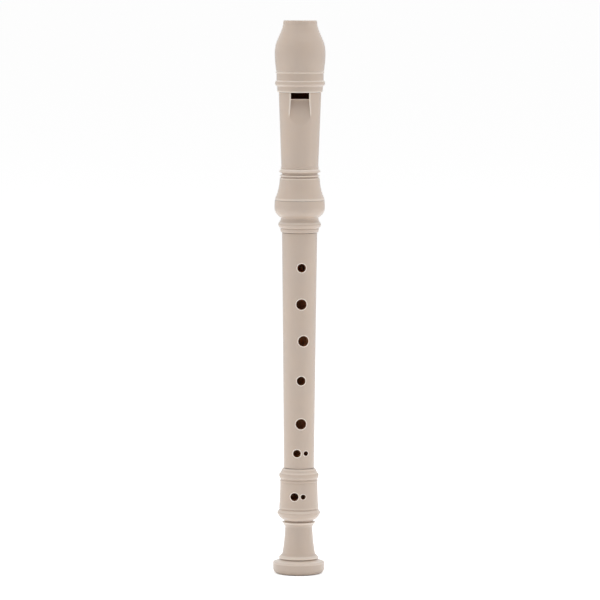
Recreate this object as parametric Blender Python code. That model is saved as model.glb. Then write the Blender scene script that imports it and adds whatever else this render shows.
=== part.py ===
"""A descant recorder in three joints, moulded in ivory plastic.

Seven turned pieces stand on each other along +Z, with the finger holes and the window facing -Y.
Each piece is modelled from its own seat upwards, and then placed on the piece below it.
"""
import math

import bmesh
import bpy
from mathutils import Matrix

# Fits between the pieces
SEAT_GAP = 0.0003
TENON_CLEARANCE = 0.00015
MOUTH_CHAMFER = 0.00035

# Facets of the turned pieces, the holes and the beak's hollow
TURNED_SIDES = 36
HOLE_SIDES = 16
BEAK_CUT_SIDES = 72

# Sounding bore, from the head down to the foot's end
HEAD_BORE_RADIUS = 0.0064
MIDDLE_BORE_TOP_RADIUS = 0.0062
MIDDLE_BORE_END_RADIUS = 0.0049
FOOT_BORE_TOP_RADIUS = 0.0050
FOOT_BORE_END_RADIUS = 0.0057

# Foot base ring: the flange that the recorder stands on
BASE_LEDGE = 0.0017
BASE_RING_WIDTH = 0.00675
BASE_FOOT_ROUND = 0.0030
BASE_SIDE_HEIGHT = 0.0042
BASE_SHOULDER_ROUND = 0.0004
BASE_CONE_HEIGHT = 0.0010
BASE_CONE_WIDTH = 0.0031

# Foot joint, from the spigot inside the base ring up to the socket's lip
FOOT_SPIGOT_WALL = 0.0026
FOOT_BEAD_WIDTH = 0.0035
FOOT_BEAD_ROUND = 0.00025
FOOT_BEAD_SIDE = 0.00095
FOOT_BEAD_CONE = 0.0021
STEM_WALL = 0.0028
STEM_FLARE_WIDTH = 0.0017
STEM_FLARE_HEIGHT = 0.0142
STEM_FLARE_HOLLOW = 0.00025
STEM_HEIGHT = 0.0020
FIN_WIDTH = 0.0017
FIN_HEIGHT = 0.0028
FIN_SWELL = 0.00012
FIN_TOP = 0.0005
GROOVE_DEPTH = 0.00095
GROOVE_HEIGHT = 0.0007
GROOVE_TOP = 0.0003
BELLY_FOOT_WIDTH = 0.0019
BELLY_WIDTH = 0.00467
BELLY_HEIGHT = 0.0038
BELLY_SWELL = 0.00033
BELLY_CREST_FALL = 0.0010
BELLY_CREST_HEIGHT = 0.0017
BELLY_CREST_SWELL = 0.00022
FOOT_BARREL_WALL = 0.00372
FOOT_BARREL_HEIGHT = 0.0163
FOOT_BARREL_HOLLOW = 0.00012
FOOT_RIDGE_PROUD = 0.00013
FOOT_RIDGE_HEIGHT = 0.0008
FOOT_RIDGE_SLOPE = 0.0005
FOOT_NECK_HEIGHT = 0.0006
FOOT_RING_PROUD = 0.0007
FOOT_RING_RISE = 0.0018
FOOT_RING_SWELL = 0.00015
FOOT_RING_FALL = 0.0011
FOOT_CONE_WIDTH = 0.0012
FOOT_CONE_HEIGHT = 0.0018
FOOT_LIP_STEP = 0.00015
FOOT_LIP_WALL = 0.0019
FOOT_LIP_HEIGHT = 0.0020
FOOT_LIP_SWELL = 0.0002

# Seventh finger hole, a pair in the foot joint
SEVENTH_LARGE_DIAMETER = 0.0043
SEVENTH_SMALL_DIAMETER = 0.0025
SEVENTH_LARGE_OFFSET = 0.0025
SEVENTH_WEB = 0.00185
SEVENTH_DROP = 0.0074
SOCKET_LAND = 0.0012

# Middle joint, with its holes counted down from the upper shoulder
UPPER_TENON_WALL = 0.0023
UPPER_TENON_LENGTH = 0.0200
UPPER_SHOULDER = 0.00197
LOWER_TENON_WALL = 0.00235
LOWER_SHOULDER = 0.00175
SHOULDER_ROUND = 0.0002
TENON_GROOVE_DEPTH = 0.0003
TENON_GROOVE_WIDTH = 0.0014
TENON_LAND = 0.0036
TENON_CHAMFER = 0.0005
MIDDLE_TURN = math.radians(7.4)
THUMB_HOLE_DROP = 0.0106
FIRST_HOLE_DROP = 0.0203
SECOND_HOLE_DROP = 0.0218
THIRD_HOLE_DROP = 0.0217
FOURTH_HOLE_DROP = 0.0237
FIFTH_HOLE_DROP = 0.0259
SIXTH_HOLE_DROP = 0.0175
BELOW_SIXTH_HOLE = 0.0088
THUMB_HOLE_DIAMETER = 0.0052
FIRST_HOLE_DIAMETER = 0.0047
SECOND_HOLE_DIAMETER = 0.0055
THIRD_HOLE_DIAMETER = 0.0054
FOURTH_HOLE_DIAMETER = 0.0046
FIFTH_HOLE_DIAMETER = 0.00565
SIXTH_LARGE_DIAMETER = 0.0041
SIXTH_SMALL_DIAMETER = 0.0023
THIRD_HOLE_TURN = math.radians(7.1)
SIXTH_LARGE_OFFSET = 0.0023
SIXTH_WEB = 0.0022
HOLE_CHAMFER = 0.0003

# Head socket ring: the bulb and beads over the barrel's sleeve
RING_LIP = 0.0018
RING_WALL = 0.0010
RING_END_PROUD = 0.00005
RING_END_ROUND = 0.0003
RING_BAND_PROUD = 0.0004
RING_BAND_HEIGHT = 0.0019
RING_STEP = 0.0002
RING_BEAD_PROUD = 0.00155
RING_BEAD_RISE = 0.0023
RING_BEAD_SWELL = 0.00015
RING_OGEE_PROUD = 0.00075
RING_OGEE_RISE = 0.0018
RING_NECK_HEIGHT = 0.0004
BULB_PROUD = 0.00376
BULB_SHOULDER_PROUD = 0.00346
BULB_SHOULDER_RISE = 0.0044
BULB_SHOULDER_SWELL = 0.00055
BULB_LOWER_RISE = 0.0026
BULB_UPPER_RISE = 0.0029
BULB_SWELL = 0.00004
BULB_TOP_FALL = 0.0002

# Head barrel, from the sleeve up to the spigot inside the mouthpiece
SLEEVE_WALL = 0.00125
FLARE_RIM_ROUND = 0.0002
FLARE_RIM_HEIGHT = 0.0014
FLARE_WIDTH = 0.00266
FLARE_HEIGHT = 0.0110
FLARE_HOLLOW = 0.00062
SHOULDER_EDGE = 0.0006
SHOULDER_FALL = 0.0004
RING_GROOVE_DEPTH = 0.0006
LOWER_GROOVE_HEIGHT = 0.0008
THIN_RING_PROUD = 0.0006
THIN_RING_HEIGHT = 0.00115
UPPER_GROOVE_DEPTH = 0.0003
UPPER_GROOVE_HEIGHT = 0.0006
SHARP_RING_PROUD = 0.0011
SHARP_RING_HEIGHT = 0.0018
BARREL_BAND_PROUD = 0.0004
BARREL_BAND_HEIGHT = 0.0022
BARREL_BAND_FALL = 0.0002
BARREL_STEP = 0.0002
BARREL_WALL = 0.00464
BARREL_LENGTH = 0.0435
BARREL_SHOULDER = 0.0018
SPIGOT_WALL = 0.0016
SPIGOT_LENGTH = 0.0130
SPIGOT_CHAMFER = 0.0004

# Windway, window and labium
WINDWAY_WIDTH = 0.01085
WINDWAY_EXIT_HEIGHT = 0.0010
WINDWAY_ENTRY_HEIGHT = 0.0016
WINDWAY_FLOOR_FALL = 0.0011
BLOCK_CHAMFER = 0.0005
WINDOW_HEIGHT = 0.0038
LABIUM_RELIEF = 0.00025
LABIUM_THICKNESS = 0.00035
LABIUM_UNDERCUT = 0.0045
RAMP_LENGTH = 0.0152
RAMP_SPREAD = 0.0008

# Mouthpiece, from the collar up to the beak's tip
COLLAR_STEP = 0.0009
COLLAR_EDGE = 0.0002
COLLAR_FLARE = 0.0002
COLLAR_HEIGHT = 0.0026
MOUTH_BEAD_STEP = 0.0001
MOUTH_BEAD_FOOT = 0.0003
MOUTH_BEAD_PROUD = 0.00095
MOUTH_BEAD_HEIGHT = 0.0042
BAND_STEP = 0.0003
BAND_HEIGHT = 0.0028
FINE_BEAD_PROUD = 0.0004
FINE_BEAD_HEIGHT = 0.0020
FINE_BEAD_STEP = 0.00015
NECK_RISE = 0.0032
NECK_WIDTH = 0.0004
NECK_HOLLOW = 0.00006
CHEEK_PROUD = 0.0010
CHEEK_LOWER_RISE = 0.0072
CHEEK_LOWER_SWELL = 0.00012
CHEEK_UPPER_RISE = 0.0078
CHEEK_UPPER_SWELL = 0.00038
CHEEK_UPPER_FALL = 0.0011
BEAK_SLOPE_RISE = 0.0038
BEAK_SLOPE_FALL = 0.0017
BEAK_HOLLOW_RISE = 0.0062
BEAK_HOLLOW = 0.0003
BEAK_TIP_HEIGHT = 0.0009
BEAK_TIP_ROUND = 0.00065
BEAK_TIP_ROUND_HEIGHT = 0.0015
BEAK_TIP_WALL = 0.00065
BEAK_TIP_THICKNESS = 0.0116
BEAK_CUT_RADIUS = 0.0300

# Ivory plastic
IVORY = (0.66, 0.57, 0.48, 1.0)
IVORY_ROUGHNESS = 0.42
SHARP_ANGLE = math.radians(32.0)

# How far a cutter reaches past the material, and how near points are one point
CUT_MARGIN = 0.0015
MERGE_DISTANCE = 0.000001
QUARTER_ROUND_BULGE = 1.0 - math.sqrt(0.5)

# Radii that follow from the bores, the walls and the fits
upper_tenon_radius = MIDDLE_BORE_TOP_RADIUS + UPPER_TENON_WALL
lower_tenon_radius = MIDDLE_BORE_END_RADIUS + LOWER_TENON_WALL
head_socket_radius = upper_tenon_radius + TENON_CLEARANCE
foot_socket_radius = lower_tenon_radius + TENON_CLEARANCE
sleeve_radius = head_socket_radius + SLEEVE_WALL
ring_bore_radius = sleeve_radius + SEAT_GAP
ring_neck_radius = ring_bore_radius + RING_WALL
foot_spigot_radius = FOOT_BORE_END_RADIUS + FOOT_SPIGOT_WALL
base_bore_radius = foot_spigot_radius + SEAT_GAP
base_radius = base_bore_radius + BASE_RING_WIDTH
foot_barrel_radius = foot_socket_radius + FOOT_BARREL_WALL

# Distances from the axis of the windway's faces, which the bore, block and labium share
windway_half_width = WINDWAY_WIDTH / 2
floor_at_exit = HEAD_BORE_RADIUS
roof_at_exit = floor_at_exit + WINDWAY_EXIT_HEIGHT
floor_at_entry = floor_at_exit - WINDWAY_FLOOR_FALL
roof_at_entry = floor_at_entry + WINDWAY_ENTRY_HEIGHT
labium_underside = HEAD_BORE_RADIUS + LABIUM_RELIEF
labium_edge = labium_underside + LABIUM_THICKNESS
spigot_radius = math.hypot(windway_half_width, roof_at_exit) + SPIGOT_WALL
mouthpiece_socket_radius = spigot_radius + SEAT_GAP
barrel_waist_radius = HEAD_BORE_RADIUS + BARREL_WALL
barrel_top_radius = spigot_radius + BARREL_SHOULDER
collar_radius = barrel_top_radius + COLLAR_STEP
beak_tip_flat_radius = math.hypot(windway_half_width, roof_at_entry) + BEAK_TIP_WALL
beak_tip_radius = beak_tip_flat_radius + BEAK_TIP_ROUND

# Height of the middle joint between its shoulders, set by its row of holes
hole_drops = (
    FIRST_HOLE_DROP, SECOND_HOLE_DROP, THIRD_HOLE_DROP, FOURTH_HOLE_DROP, FIFTH_HOLE_DROP, SIXTH_HOLE_DROP)
middle_height = sum(hole_drops) + BELOW_SIXTH_HOLE


class Outline:
    """Half outline of a turned piece: points of radius and height, cut from the bottom up."""

    def __init__(self, radius, height=0.0):
        self.points = [(radius, height)]

    @property
    def radius(self):
        return self.points[-1][0]

    @property
    def height(self):
        return self.points[-1][1]

    def line(self, radius, rise=0.0):
        """Straight cut to a radius, a rise further up."""
        self.points.append((radius, self.height + rise))
        return self

    def up_to(self, height):
        """Straight cut along the axis to a height."""
        self.points.append((self.radius, height))
        return self

    def arc(self, radius, rise, bulge, steps):
        """Round cut to a radius, whose middle is proud of the straight cut by bulge, or hollow below zero."""
        start_radius, start_height = self.points[-1]
        chord_r = radius - start_radius
        chord_z = rise
        chord = math.hypot(chord_r, chord_z)
        half_angle = 2 * math.atan2(abs(bulge), chord / 2)
        arc_radius = chord / 2 / math.sin(half_angle)
        side = math.copysign(1.0, bulge)
        for step in range(1, steps + 1):
            angle = half_angle * (2 * step / steps - 1)
            along = chord / 2 + arc_radius * math.sin(angle)
            proud = side * arc_radius * (math.cos(angle) - math.cos(half_angle))
            point_r = start_radius + (along * chord_r + proud * chord_z) / chord
            point_z = start_height + (along * chord_z - proud * chord_r) / chord
            self.points.append((point_r, point_z))
        return self

    def round_out(self, size, steps=2):
        """Quarter round from a level face out to an upright side."""
        return self.arc(self.radius + size, size, size * QUARTER_ROUND_BULGE, steps)

    def round_in(self, size, steps=2):
        """Quarter round from an upright side in to a level face."""
        return self.arc(self.radius - size, size, size * QUARTER_ROUND_BULGE, steps)

    def bead(self, proud, height, steps, end_radius=None):
        """Round ring that stands proud of the outline."""
        end = self.radius if end_radius is None else end_radius
        return self.arc(end, height, proud, steps)


def clear_scene():
    """Remove the scene's objects, so that the model starts from nothing."""
    for item in list(bpy.data.objects):
        bpy.data.objects.remove(item, do_unlink=True)


def ivory_material(name):
    """Moulded ivory plastic for one piece."""
    material = bpy.data.materials.new(name)
    material.use_nodes = True
    shader = material.node_tree.nodes["Principled BSDF"]
    shader.inputs["Base Color"].default_value = IVORY
    shader.inputs["Roughness"].default_value = IVORY_ROUGHNESS
    shader.inputs["Metallic"].default_value = 0.0
    material.diffuse_color = IVORY
    return material


def mesh_from(name, bm):
    """Turn a finished bmesh into a mesh whose faces all point out."""
    bmesh.ops.recalc_face_normals(bm, faces=bm.faces)
    mesh = bpy.data.meshes.new(name)
    bm.to_mesh(mesh)
    bm.free()
    return mesh


def spin(bm, points, sides, closed):
    """Spin an outline of radius and height points about Z."""
    verts = [bm.verts.new((radius, 0.0, height)) for radius, height in points]
    edges = [bm.edges.new(pair) for pair in zip(verts, verts[1:])]
    if closed:
        edges.append(bm.edges.new((verts[-1], verts[0])))
    bmesh.ops.spin(bm, geom=verts + edges, cent=(0, 0, 0), axis=(0, 0, 1), angle=math.tau, steps=sides)
    bmesh.ops.remove_doubles(bm, verts=bm.verts, dist=MERGE_DISTANCE)


def turned_mesh(name, outer, inner):
    """Tube between an outer and an inner outline, which may share their lowest point."""
    points = list(outer.points)
    for point in reversed(inner.points):
        if math.dist(point, points[-1]) > MERGE_DISTANCE and math.dist(point, points[0]) > MERGE_DISTANCE:
            points.append(point)
    bm = bmesh.new()
    spin(bm, points, TURNED_SIDES, closed=True)
    return mesh_from(name, bm)


def add_object(name, mesh, parent=None, height=0.0, turn=0.0):
    """Put a mesh in the scene, a height above its parent's origin."""
    item = bpy.data.objects.new(name, mesh)
    bpy.context.scene.collection.objects.link(item)
    item.parent = parent
    item.location.z = height
    item.rotation_euler.z = turn
    return item


def add_piece(name, mesh, parent, height, turn=0.0):
    """Put one moulded piece in the scene, in its own ivory."""
    mesh.shade_smooth()
    mesh.set_sharp_from_angle(angle=SHARP_ANGLE)
    mesh.materials.append(ivory_material(name + "_ivory"))
    return add_object(name, mesh, parent, height, turn)


def cut(piece, name, mesh):
    """Cut a piece with a hidden cutter that is placed in the piece's own frame."""
    cutter = add_object(name, mesh, parent=piece)
    cutter.display_type = 'WIRE'
    cutter.hide_render = True
    boolean = piece.modifiers.new(name, 'BOOLEAN')
    boolean.operation = 'DIFFERENCE'
    boolean.solver = 'EXACT'
    boolean.object = cutter


def add_drill(bm, diameter, surface, offset, height, turn=0.0):
    """Chamfered drill along -Y: from the bore's middle out through a wall whose surface has this radius."""
    radius = diameter / 2
    mouth = math.sqrt(surface ** 2 - offset ** 2)
    tip = mouth + CUT_MARGIN
    flare = radius + HOLE_CHAMFER + CUT_MARGIN
    points = [(0.0, 0.0), (radius, 0.0), (radius, mouth - HOLE_CHAMFER), (flare, tip), (0.0, tip)]
    drill = bmesh.new()
    spin(drill, points, HOLE_SIDES, closed=False)
    lay_down = Matrix.Rotation(math.radians(90), 4, 'X')
    place = Matrix.Rotation(turn, 4, 'Z') @ Matrix.Translation((offset, 0.0, height)) @ lay_down
    bmesh.ops.transform(drill, matrix=place, verts=drill.verts)
    drill_mesh = mesh_from("drill", drill)
    bm.from_mesh(drill_mesh)
    bpy.data.meshes.remove(drill_mesh)


def side_cut_mesh(name, profile):
    """Cutter from a side profile: points of depth in front of the axis, height and half width."""
    bm = bmesh.new()
    left = [bm.verts.new((-half, -depth, height)) for depth, height, half in profile]
    right = [bm.verts.new((half, -depth, height)) for depth, height, half in profile]
    count = len(profile)
    for index in range(count):
        after = (index + 1) % count
        bm.faces.new((left[index], left[after], right[after], right[index]))
    for side in (left, right):
        bm.faces.new(side[:-1])
        bm.faces.new((side[0], side[-2], side[-1]))
    return mesh_from(name, bm)


def make_foot_base_ring(parent, height):
    """The flange: pushed up over the foot's spigot, with a ledge that covers the spigot's end."""
    outer = Outline(FOOT_BORE_END_RADIUS + MOUTH_CHAMFER)
    outer.line(base_radius - BASE_FOOT_ROUND)
    outer.round_out(BASE_FOOT_ROUND, steps=4)
    outer.line(base_radius, BASE_SIDE_HEIGHT)
    outer.round_in(BASE_SHOULDER_ROUND)
    outer.line(outer.radius - BASE_CONE_WIDTH, BASE_CONE_HEIGHT)
    inner = Outline(FOOT_BORE_END_RADIUS + MOUTH_CHAMFER)
    inner.line(FOOT_BORE_END_RADIUS, MOUTH_CHAMFER)
    inner.up_to(BASE_LEDGE)
    inner.line(base_bore_radius)
    inner.up_to(outer.height)
    add_piece("foot_base_ring", turned_mesh("foot_base_ring", outer, inner), parent, height)
    return outer.height


def foot_joint_outline(spigot_length):
    """Outside of the foot joint: spigot, bead, stem, fin, groove, belly, barrel, ring and lip."""
    stem_radius = FOOT_BORE_END_RADIUS + STEM_WALL - MOUTH_CHAMFER
    belly_radius = stem_radius + BELLY_WIDTH
    outer = Outline(FOOT_BORE_END_RADIUS, -spigot_length)
    outer.line(foot_spigot_radius)
    outer.up_to(0.0)
    outer.line(foot_spigot_radius + FOOT_BEAD_WIDTH - FOOT_BEAD_ROUND)
    outer.round_out(FOOT_BEAD_ROUND)
    outer.line(outer.radius, FOOT_BEAD_SIDE)
    outer.line(stem_radius + STEM_FLARE_WIDTH, FOOT_BEAD_CONE)
    outer.arc(stem_radius, STEM_FLARE_HEIGHT, -STEM_FLARE_HOLLOW, 5)
    outer.line(stem_radius, STEM_HEIGHT)
    outer.arc(stem_radius + FIN_WIDTH, FIN_HEIGHT, FIN_SWELL, 3)
    outer.line(outer.radius - GROOVE_DEPTH, FIN_TOP)
    outer.line(outer.radius, GROOVE_HEIGHT)
    outer.line(stem_radius + BELLY_FOOT_WIDTH, GROOVE_TOP)
    outer.arc(belly_radius, BELLY_HEIGHT, BELLY_SWELL, 4)
    outer.arc(belly_radius - BELLY_CREST_FALL, BELLY_CREST_HEIGHT, BELLY_CREST_SWELL, 3)
    outer.arc(foot_barrel_radius, FOOT_BARREL_HEIGHT, -FOOT_BARREL_HOLLOW, 4)
    outer.line(foot_barrel_radius + FOOT_RIDGE_PROUD, FOOT_RIDGE_SLOPE)
    outer.line(outer.radius, FOOT_RIDGE_HEIGHT)
    outer.line(foot_barrel_radius, FOOT_RIDGE_SLOPE)
    outer.line(outer.radius, FOOT_NECK_HEIGHT)
    outer.arc(foot_barrel_radius + FOOT_RING_PROUD, FOOT_RING_RISE, FOOT_RING_SWELL, 2)
    outer.arc(outer.radius - FOOT_LIP_SWELL, FOOT_RING_FALL, FOOT_RING_SWELL, 2)
    outer.line(outer.radius - FOOT_CONE_WIDTH, FOOT_CONE_HEIGHT)
    outer.line(outer.radius - FOOT_LIP_STEP, FOOT_LIP_STEP)
    outer.arc(foot_socket_radius + FOOT_LIP_WALL, FOOT_LIP_HEIGHT, FOOT_LIP_SWELL, 3)
    return outer


def make_foot_joint(parent, height, spigot_length):
    """The foot: a socket for the middle joint's lower tenon, the last pair of holes and a turned stem."""
    outer = foot_joint_outline(spigot_length)
    top = outer.height
    barrel_top = top - FOOT_LIP_HEIGHT - FOOT_LIP_STEP - FOOT_CONE_HEIGHT - FOOT_RING_FALL - FOOT_RING_RISE
    hole_height = barrel_top - FOOT_NECK_HEIGHT - 2 * FOOT_RIDGE_SLOPE - FOOT_RIDGE_HEIGHT - SEVENTH_DROP
    socket_floor = hole_height + SEVENTH_LARGE_DIAMETER / 2 + SOCKET_LAND
    inner = Outline(FOOT_BORE_END_RADIUS, -spigot_length)
    inner.line(FOOT_BORE_TOP_RADIUS, spigot_length + socket_floor)
    inner.line(foot_socket_radius)
    inner.up_to(top - MOUTH_CHAMFER)
    inner.line(foot_socket_radius + MOUTH_CHAMFER, MOUTH_CHAMFER)
    piece = add_piece("foot_joint", turned_mesh("foot_joint", outer, inner), parent, height)
    drills = bmesh.new()
    add_hole_pair(
        drills, SEVENTH_LARGE_DIAMETER, SEVENTH_SMALL_DIAMETER, SEVENTH_LARGE_OFFSET, SEVENTH_WEB,
        foot_barrel_radius, hole_height)
    cut(piece, "seventh_hole_drills", mesh_from("seventh_hole_drills", drills))
    return top, top - socket_floor


def add_hole_pair(bm, large, small, large_offset, web, surface, height):
    """Two parallel drills side by side, with a web of wall between the holes."""
    add_drill(bm, large, surface, -large_offset, height)
    add_drill(bm, small, surface, -large_offset + large / 2 + web + small / 2, height)


def groove_tenon(outer, start, end):
    """Fine sealing grooves, a land apart, in a tenon between two heights."""
    pitch = TENON_LAND + TENON_GROOVE_WIDTH
    count = int((end - start - TENON_LAND) / pitch)
    first = (start + end + TENON_LAND - count * pitch) / 2
    for index in range(count):
        outer.up_to(first + index * pitch)
        outer.line(outer.radius - TENON_GROOVE_DEPTH)
        outer.line(outer.radius, TENON_GROOVE_WIDTH)
        outer.line(outer.radius + TENON_GROOVE_DEPTH)


def make_middle_joint(height, lower_tenon_length):
    """The middle joint: a tapered tube with a tenon at each end, six finger holes and the thumb hole."""
    foot_end_radius = lower_tenon_radius + LOWER_SHOULDER
    head_end_radius = upper_tenon_radius + UPPER_SHOULDER
    top = middle_height + UPPER_TENON_LENGTH
    outer = Outline(MIDDLE_BORE_END_RADIUS, -lower_tenon_length)
    outer.line(lower_tenon_radius - TENON_CHAMFER)
    outer.line(lower_tenon_radius, TENON_CHAMFER)
    groove_tenon(outer, -lower_tenon_length, 0.0)
    outer.up_to(0.0)
    outer.line(foot_end_radius - SHOULDER_ROUND)
    outer.line(foot_end_radius, SHOULDER_ROUND)
    outer.line(head_end_radius, middle_height - 2 * SHOULDER_ROUND)
    outer.line(head_end_radius - SHOULDER_ROUND, SHOULDER_ROUND)
    outer.line(upper_tenon_radius)
    groove_tenon(outer, middle_height, top)
    outer.up_to(top - TENON_CHAMFER)
    outer.line(upper_tenon_radius - TENON_CHAMFER, TENON_CHAMFER)
    inner = Outline(MIDDLE_BORE_END_RADIUS, -lower_tenon_length)
    inner.line(MIDDLE_BORE_TOP_RADIUS, lower_tenon_length + top)
    piece = add_piece("middle_joint", turned_mesh("middle_joint", outer, inner), None, height, MIDDLE_TURN)

    def surface_at(hole_height):
        share = hole_height / middle_height
        return foot_end_radius + (head_end_radius - foot_end_radius) * share

    drills = bmesh.new()
    diameters = (FIRST_HOLE_DIAMETER, SECOND_HOLE_DIAMETER, THIRD_HOLE_DIAMETER, FOURTH_HOLE_DIAMETER,
                 FIFTH_HOLE_DIAMETER)
    turns = (0.0, 0.0, THIRD_HOLE_TURN, 0.0, 0.0)
    hole_height = middle_height
    for drop, diameter, turn in zip(hole_drops, diameters, turns):
        hole_height -= drop
        add_drill(drills, diameter, surface_at(hole_height), 0.0, hole_height, turn)
    add_hole_pair(
        drills, SIXTH_LARGE_DIAMETER, SIXTH_SMALL_DIAMETER, SIXTH_LARGE_OFFSET, SIXTH_WEB,
        surface_at(BELOW_SIXTH_HOLE), BELOW_SIXTH_HOLE)
    thumb_height = middle_height - THUMB_HOLE_DROP
    add_drill(drills, THUMB_HOLE_DIAMETER, surface_at(thumb_height), 0.0, thumb_height, math.pi)
    cut(piece, "finger_hole_drills", mesh_from("finger_hole_drills", drills))


def make_head_socket_ring(parent, height):
    """The bulb with its beads: a ring over the barrel's sleeve, with a lip that covers the sleeve's end."""
    neck = ring_neck_radius
    outer = Outline(head_socket_radius + MOUTH_CHAMFER)
    outer.line(neck + RING_END_PROUD - RING_END_ROUND)
    outer.round_out(RING_END_ROUND)
    outer.line(neck + RING_BAND_PROUD, RING_BAND_HEIGHT)
    outer.line(outer.radius, RING_STEP)
    outer.arc(neck + RING_BEAD_PROUD, RING_BEAD_RISE, RING_BEAD_SWELL, 3)
    outer.arc(neck + RING_OGEE_PROUD, RING_OGEE_RISE, RING_BEAD_SWELL, 2)
    outer.arc(neck, RING_OGEE_RISE, -RING_BEAD_SWELL, 2)
    outer.line(neck, RING_NECK_HEIGHT)
    outer.arc(neck + BULB_SHOULDER_PROUD, BULB_SHOULDER_RISE, BULB_SHOULDER_SWELL, 5)
    outer.arc(neck + BULB_PROUD, BULB_LOWER_RISE, BULB_SWELL, 2)
    outer.arc(neck + BULB_PROUD - BULB_TOP_FALL, BULB_UPPER_RISE, BULB_SWELL, 2)
    inner = Outline(head_socket_radius + MOUTH_CHAMFER)
    inner.line(head_socket_radius, MOUTH_CHAMFER)
    inner.up_to(RING_LIP)
    inner.line(ring_bore_radius)
    inner.up_to(outer.height)
    add_piece("head_socket_ring", turned_mesh("head_socket_ring", outer, inner), parent, height)
    return outer.height, outer.radius


def window_mesh(shoulder, taper):
    """Cutter for the window, the labium's ramp, the relief under its edge and the windway above it."""
    window_top = shoulder + SEAT_GAP
    edge_height = window_top - WINDOW_HEIGHT
    ramp_end = edge_height - RAMP_LENGTH
    ramp_end_radius = barrel_top_radius - taper * (shoulder - ramp_end)
    slope = (ramp_end_radius - labium_edge) / RAMP_LENGTH
    reach = barrel_top_radius + CUT_MARGIN
    ramp_drop = (reach - labium_edge) / slope
    ramp_half_width = windway_half_width + RAMP_SPREAD * ramp_drop / RAMP_LENGTH
    spigot_top = shoulder + SPIGOT_LENGTH + CUT_MARGIN
    roof_rise = windway_roof_at(spigot_top - window_top)
    half = windway_half_width
    profile = [
        (reach, window_top, half),
        (roof_at_exit, window_top, half),
        (roof_rise, spigot_top, half),
        (0.0, spigot_top, half),
        (0.0, edge_height - LABIUM_UNDERCUT, half),
        (labium_underside, edge_height - LABIUM_UNDERCUT, half),
        (labium_underside, edge_height, half),
        (labium_edge, edge_height, half),
        (reach, edge_height - ramp_drop, ramp_half_width),
    ]
    return side_cut_mesh("window_cutter", profile)


def make_head_barrel(parent, height, sleeve_length, socket_depth, rim_radius):
    """The barrel: sleeve, flare and rings, tapered tube with the window, and the mouthpiece's spigot."""
    outer = Outline(head_socket_radius, -sleeve_length)
    outer.line(sleeve_radius)
    outer.up_to(0.0)
    outer.line(rim_radius - FLARE_RIM_ROUND)
    outer.line(rim_radius, FLARE_RIM_ROUND)
    flare_foot = rim_radius - FLARE_RIM_ROUND / 2
    waist = flare_foot - FLARE_WIDTH
    outer.line(flare_foot, FLARE_RIM_HEIGHT)
    outer.arc(waist, FLARE_HEIGHT, -FLARE_HOLLOW, 5)
    outer.line(waist, SHOULDER_EDGE)
    outer.line(waist - RING_GROOVE_DEPTH, SHOULDER_FALL)
    outer.line(outer.radius, LOWER_GROOVE_HEIGHT)
    outer.bead(THIN_RING_PROUD, THIN_RING_HEIGHT, 4)
    outer.line(outer.radius - UPPER_GROOVE_DEPTH, RING_STEP)
    outer.line(outer.radius, UPPER_GROOVE_HEIGHT)
    outer.bead(SHARP_RING_PROUD, SHARP_RING_HEIGHT, 4, end_radius=barrel_waist_radius + BARREL_BAND_PROUD)
    outer.line(barrel_waist_radius + BARREL_BAND_PROUD - BARREL_BAND_FALL, BARREL_BAND_HEIGHT)
    outer.line(barrel_waist_radius, BARREL_STEP)
    outer.line(barrel_top_radius, BARREL_LENGTH)
    shoulder = outer.height
    outer.line(spigot_radius)
    outer.line(spigot_radius, SPIGOT_LENGTH - SPIGOT_CHAMFER)
    outer.line(spigot_radius - SPIGOT_CHAMFER, SPIGOT_CHAMFER)
    inner = Outline(head_socket_radius, -sleeve_length)
    inner.up_to(socket_depth)
    inner.line(HEAD_BORE_RADIUS)
    inner.up_to(outer.height)
    piece = add_piece("head_barrel", turned_mesh("head_barrel", outer, inner), parent, height)
    taper = (barrel_top_radius - barrel_waist_radius) / BARREL_LENGTH
    cut(piece, "window_cutter", window_mesh(shoulder, taper))
    return shoulder


def mouthpiece_outline():
    """Outside of the mouthpiece: collar, bead, band, fine bead, cheek and beak."""
    cheek_radius = collar_radius + COLLAR_FLARE + CHEEK_PROUD + NECK_WIDTH
    outer = Outline(mouthpiece_socket_radius)
    outer.line(collar_radius - COLLAR_EDGE)
    outer.line(collar_radius, COLLAR_EDGE)
    outer.line(collar_radius + COLLAR_FLARE, COLLAR_HEIGHT)
    outer.line(outer.radius + MOUTH_BEAD_STEP, MOUTH_BEAD_FOOT)
    outer.bead(MOUTH_BEAD_PROUD, MOUTH_BEAD_HEIGHT, 6, end_radius=outer.radius + BAND_STEP)
    outer.line(outer.radius, BAND_HEIGHT)
    outer.bead(FINE_BEAD_PROUD, FINE_BEAD_HEIGHT, 3, end_radius=outer.radius + FINE_BEAD_STEP)
    outer.arc(outer.radius + NECK_WIDTH, NECK_RISE, -NECK_HOLLOW, 2)
    outer.arc(cheek_radius, CHEEK_LOWER_RISE, CHEEK_LOWER_SWELL, 3)
    outer.arc(cheek_radius - CHEEK_UPPER_FALL, CHEEK_UPPER_RISE, CHEEK_UPPER_SWELL, 4)
    outer.line(outer.radius - BEAK_SLOPE_FALL, BEAK_SLOPE_RISE)
    outer.arc(beak_tip_radius, BEAK_HOLLOW_RISE, -BEAK_HOLLOW, 3)
    outer.line(beak_tip_radius, BEAK_TIP_HEIGHT)
    outer.arc(beak_tip_flat_radius, BEAK_TIP_ROUND_HEIGHT, BEAK_TIP_ROUND * QUARTER_ROUND_BULGE, 3)
    return outer


mouthpiece_height = mouthpiece_outline().height


def windway_roof_at(height):
    """Distance of the windway's roof from the axis, at a height above the windway's exit."""
    return roof_at_exit + (roof_at_entry - roof_at_exit) * height / mouthpiece_height


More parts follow.
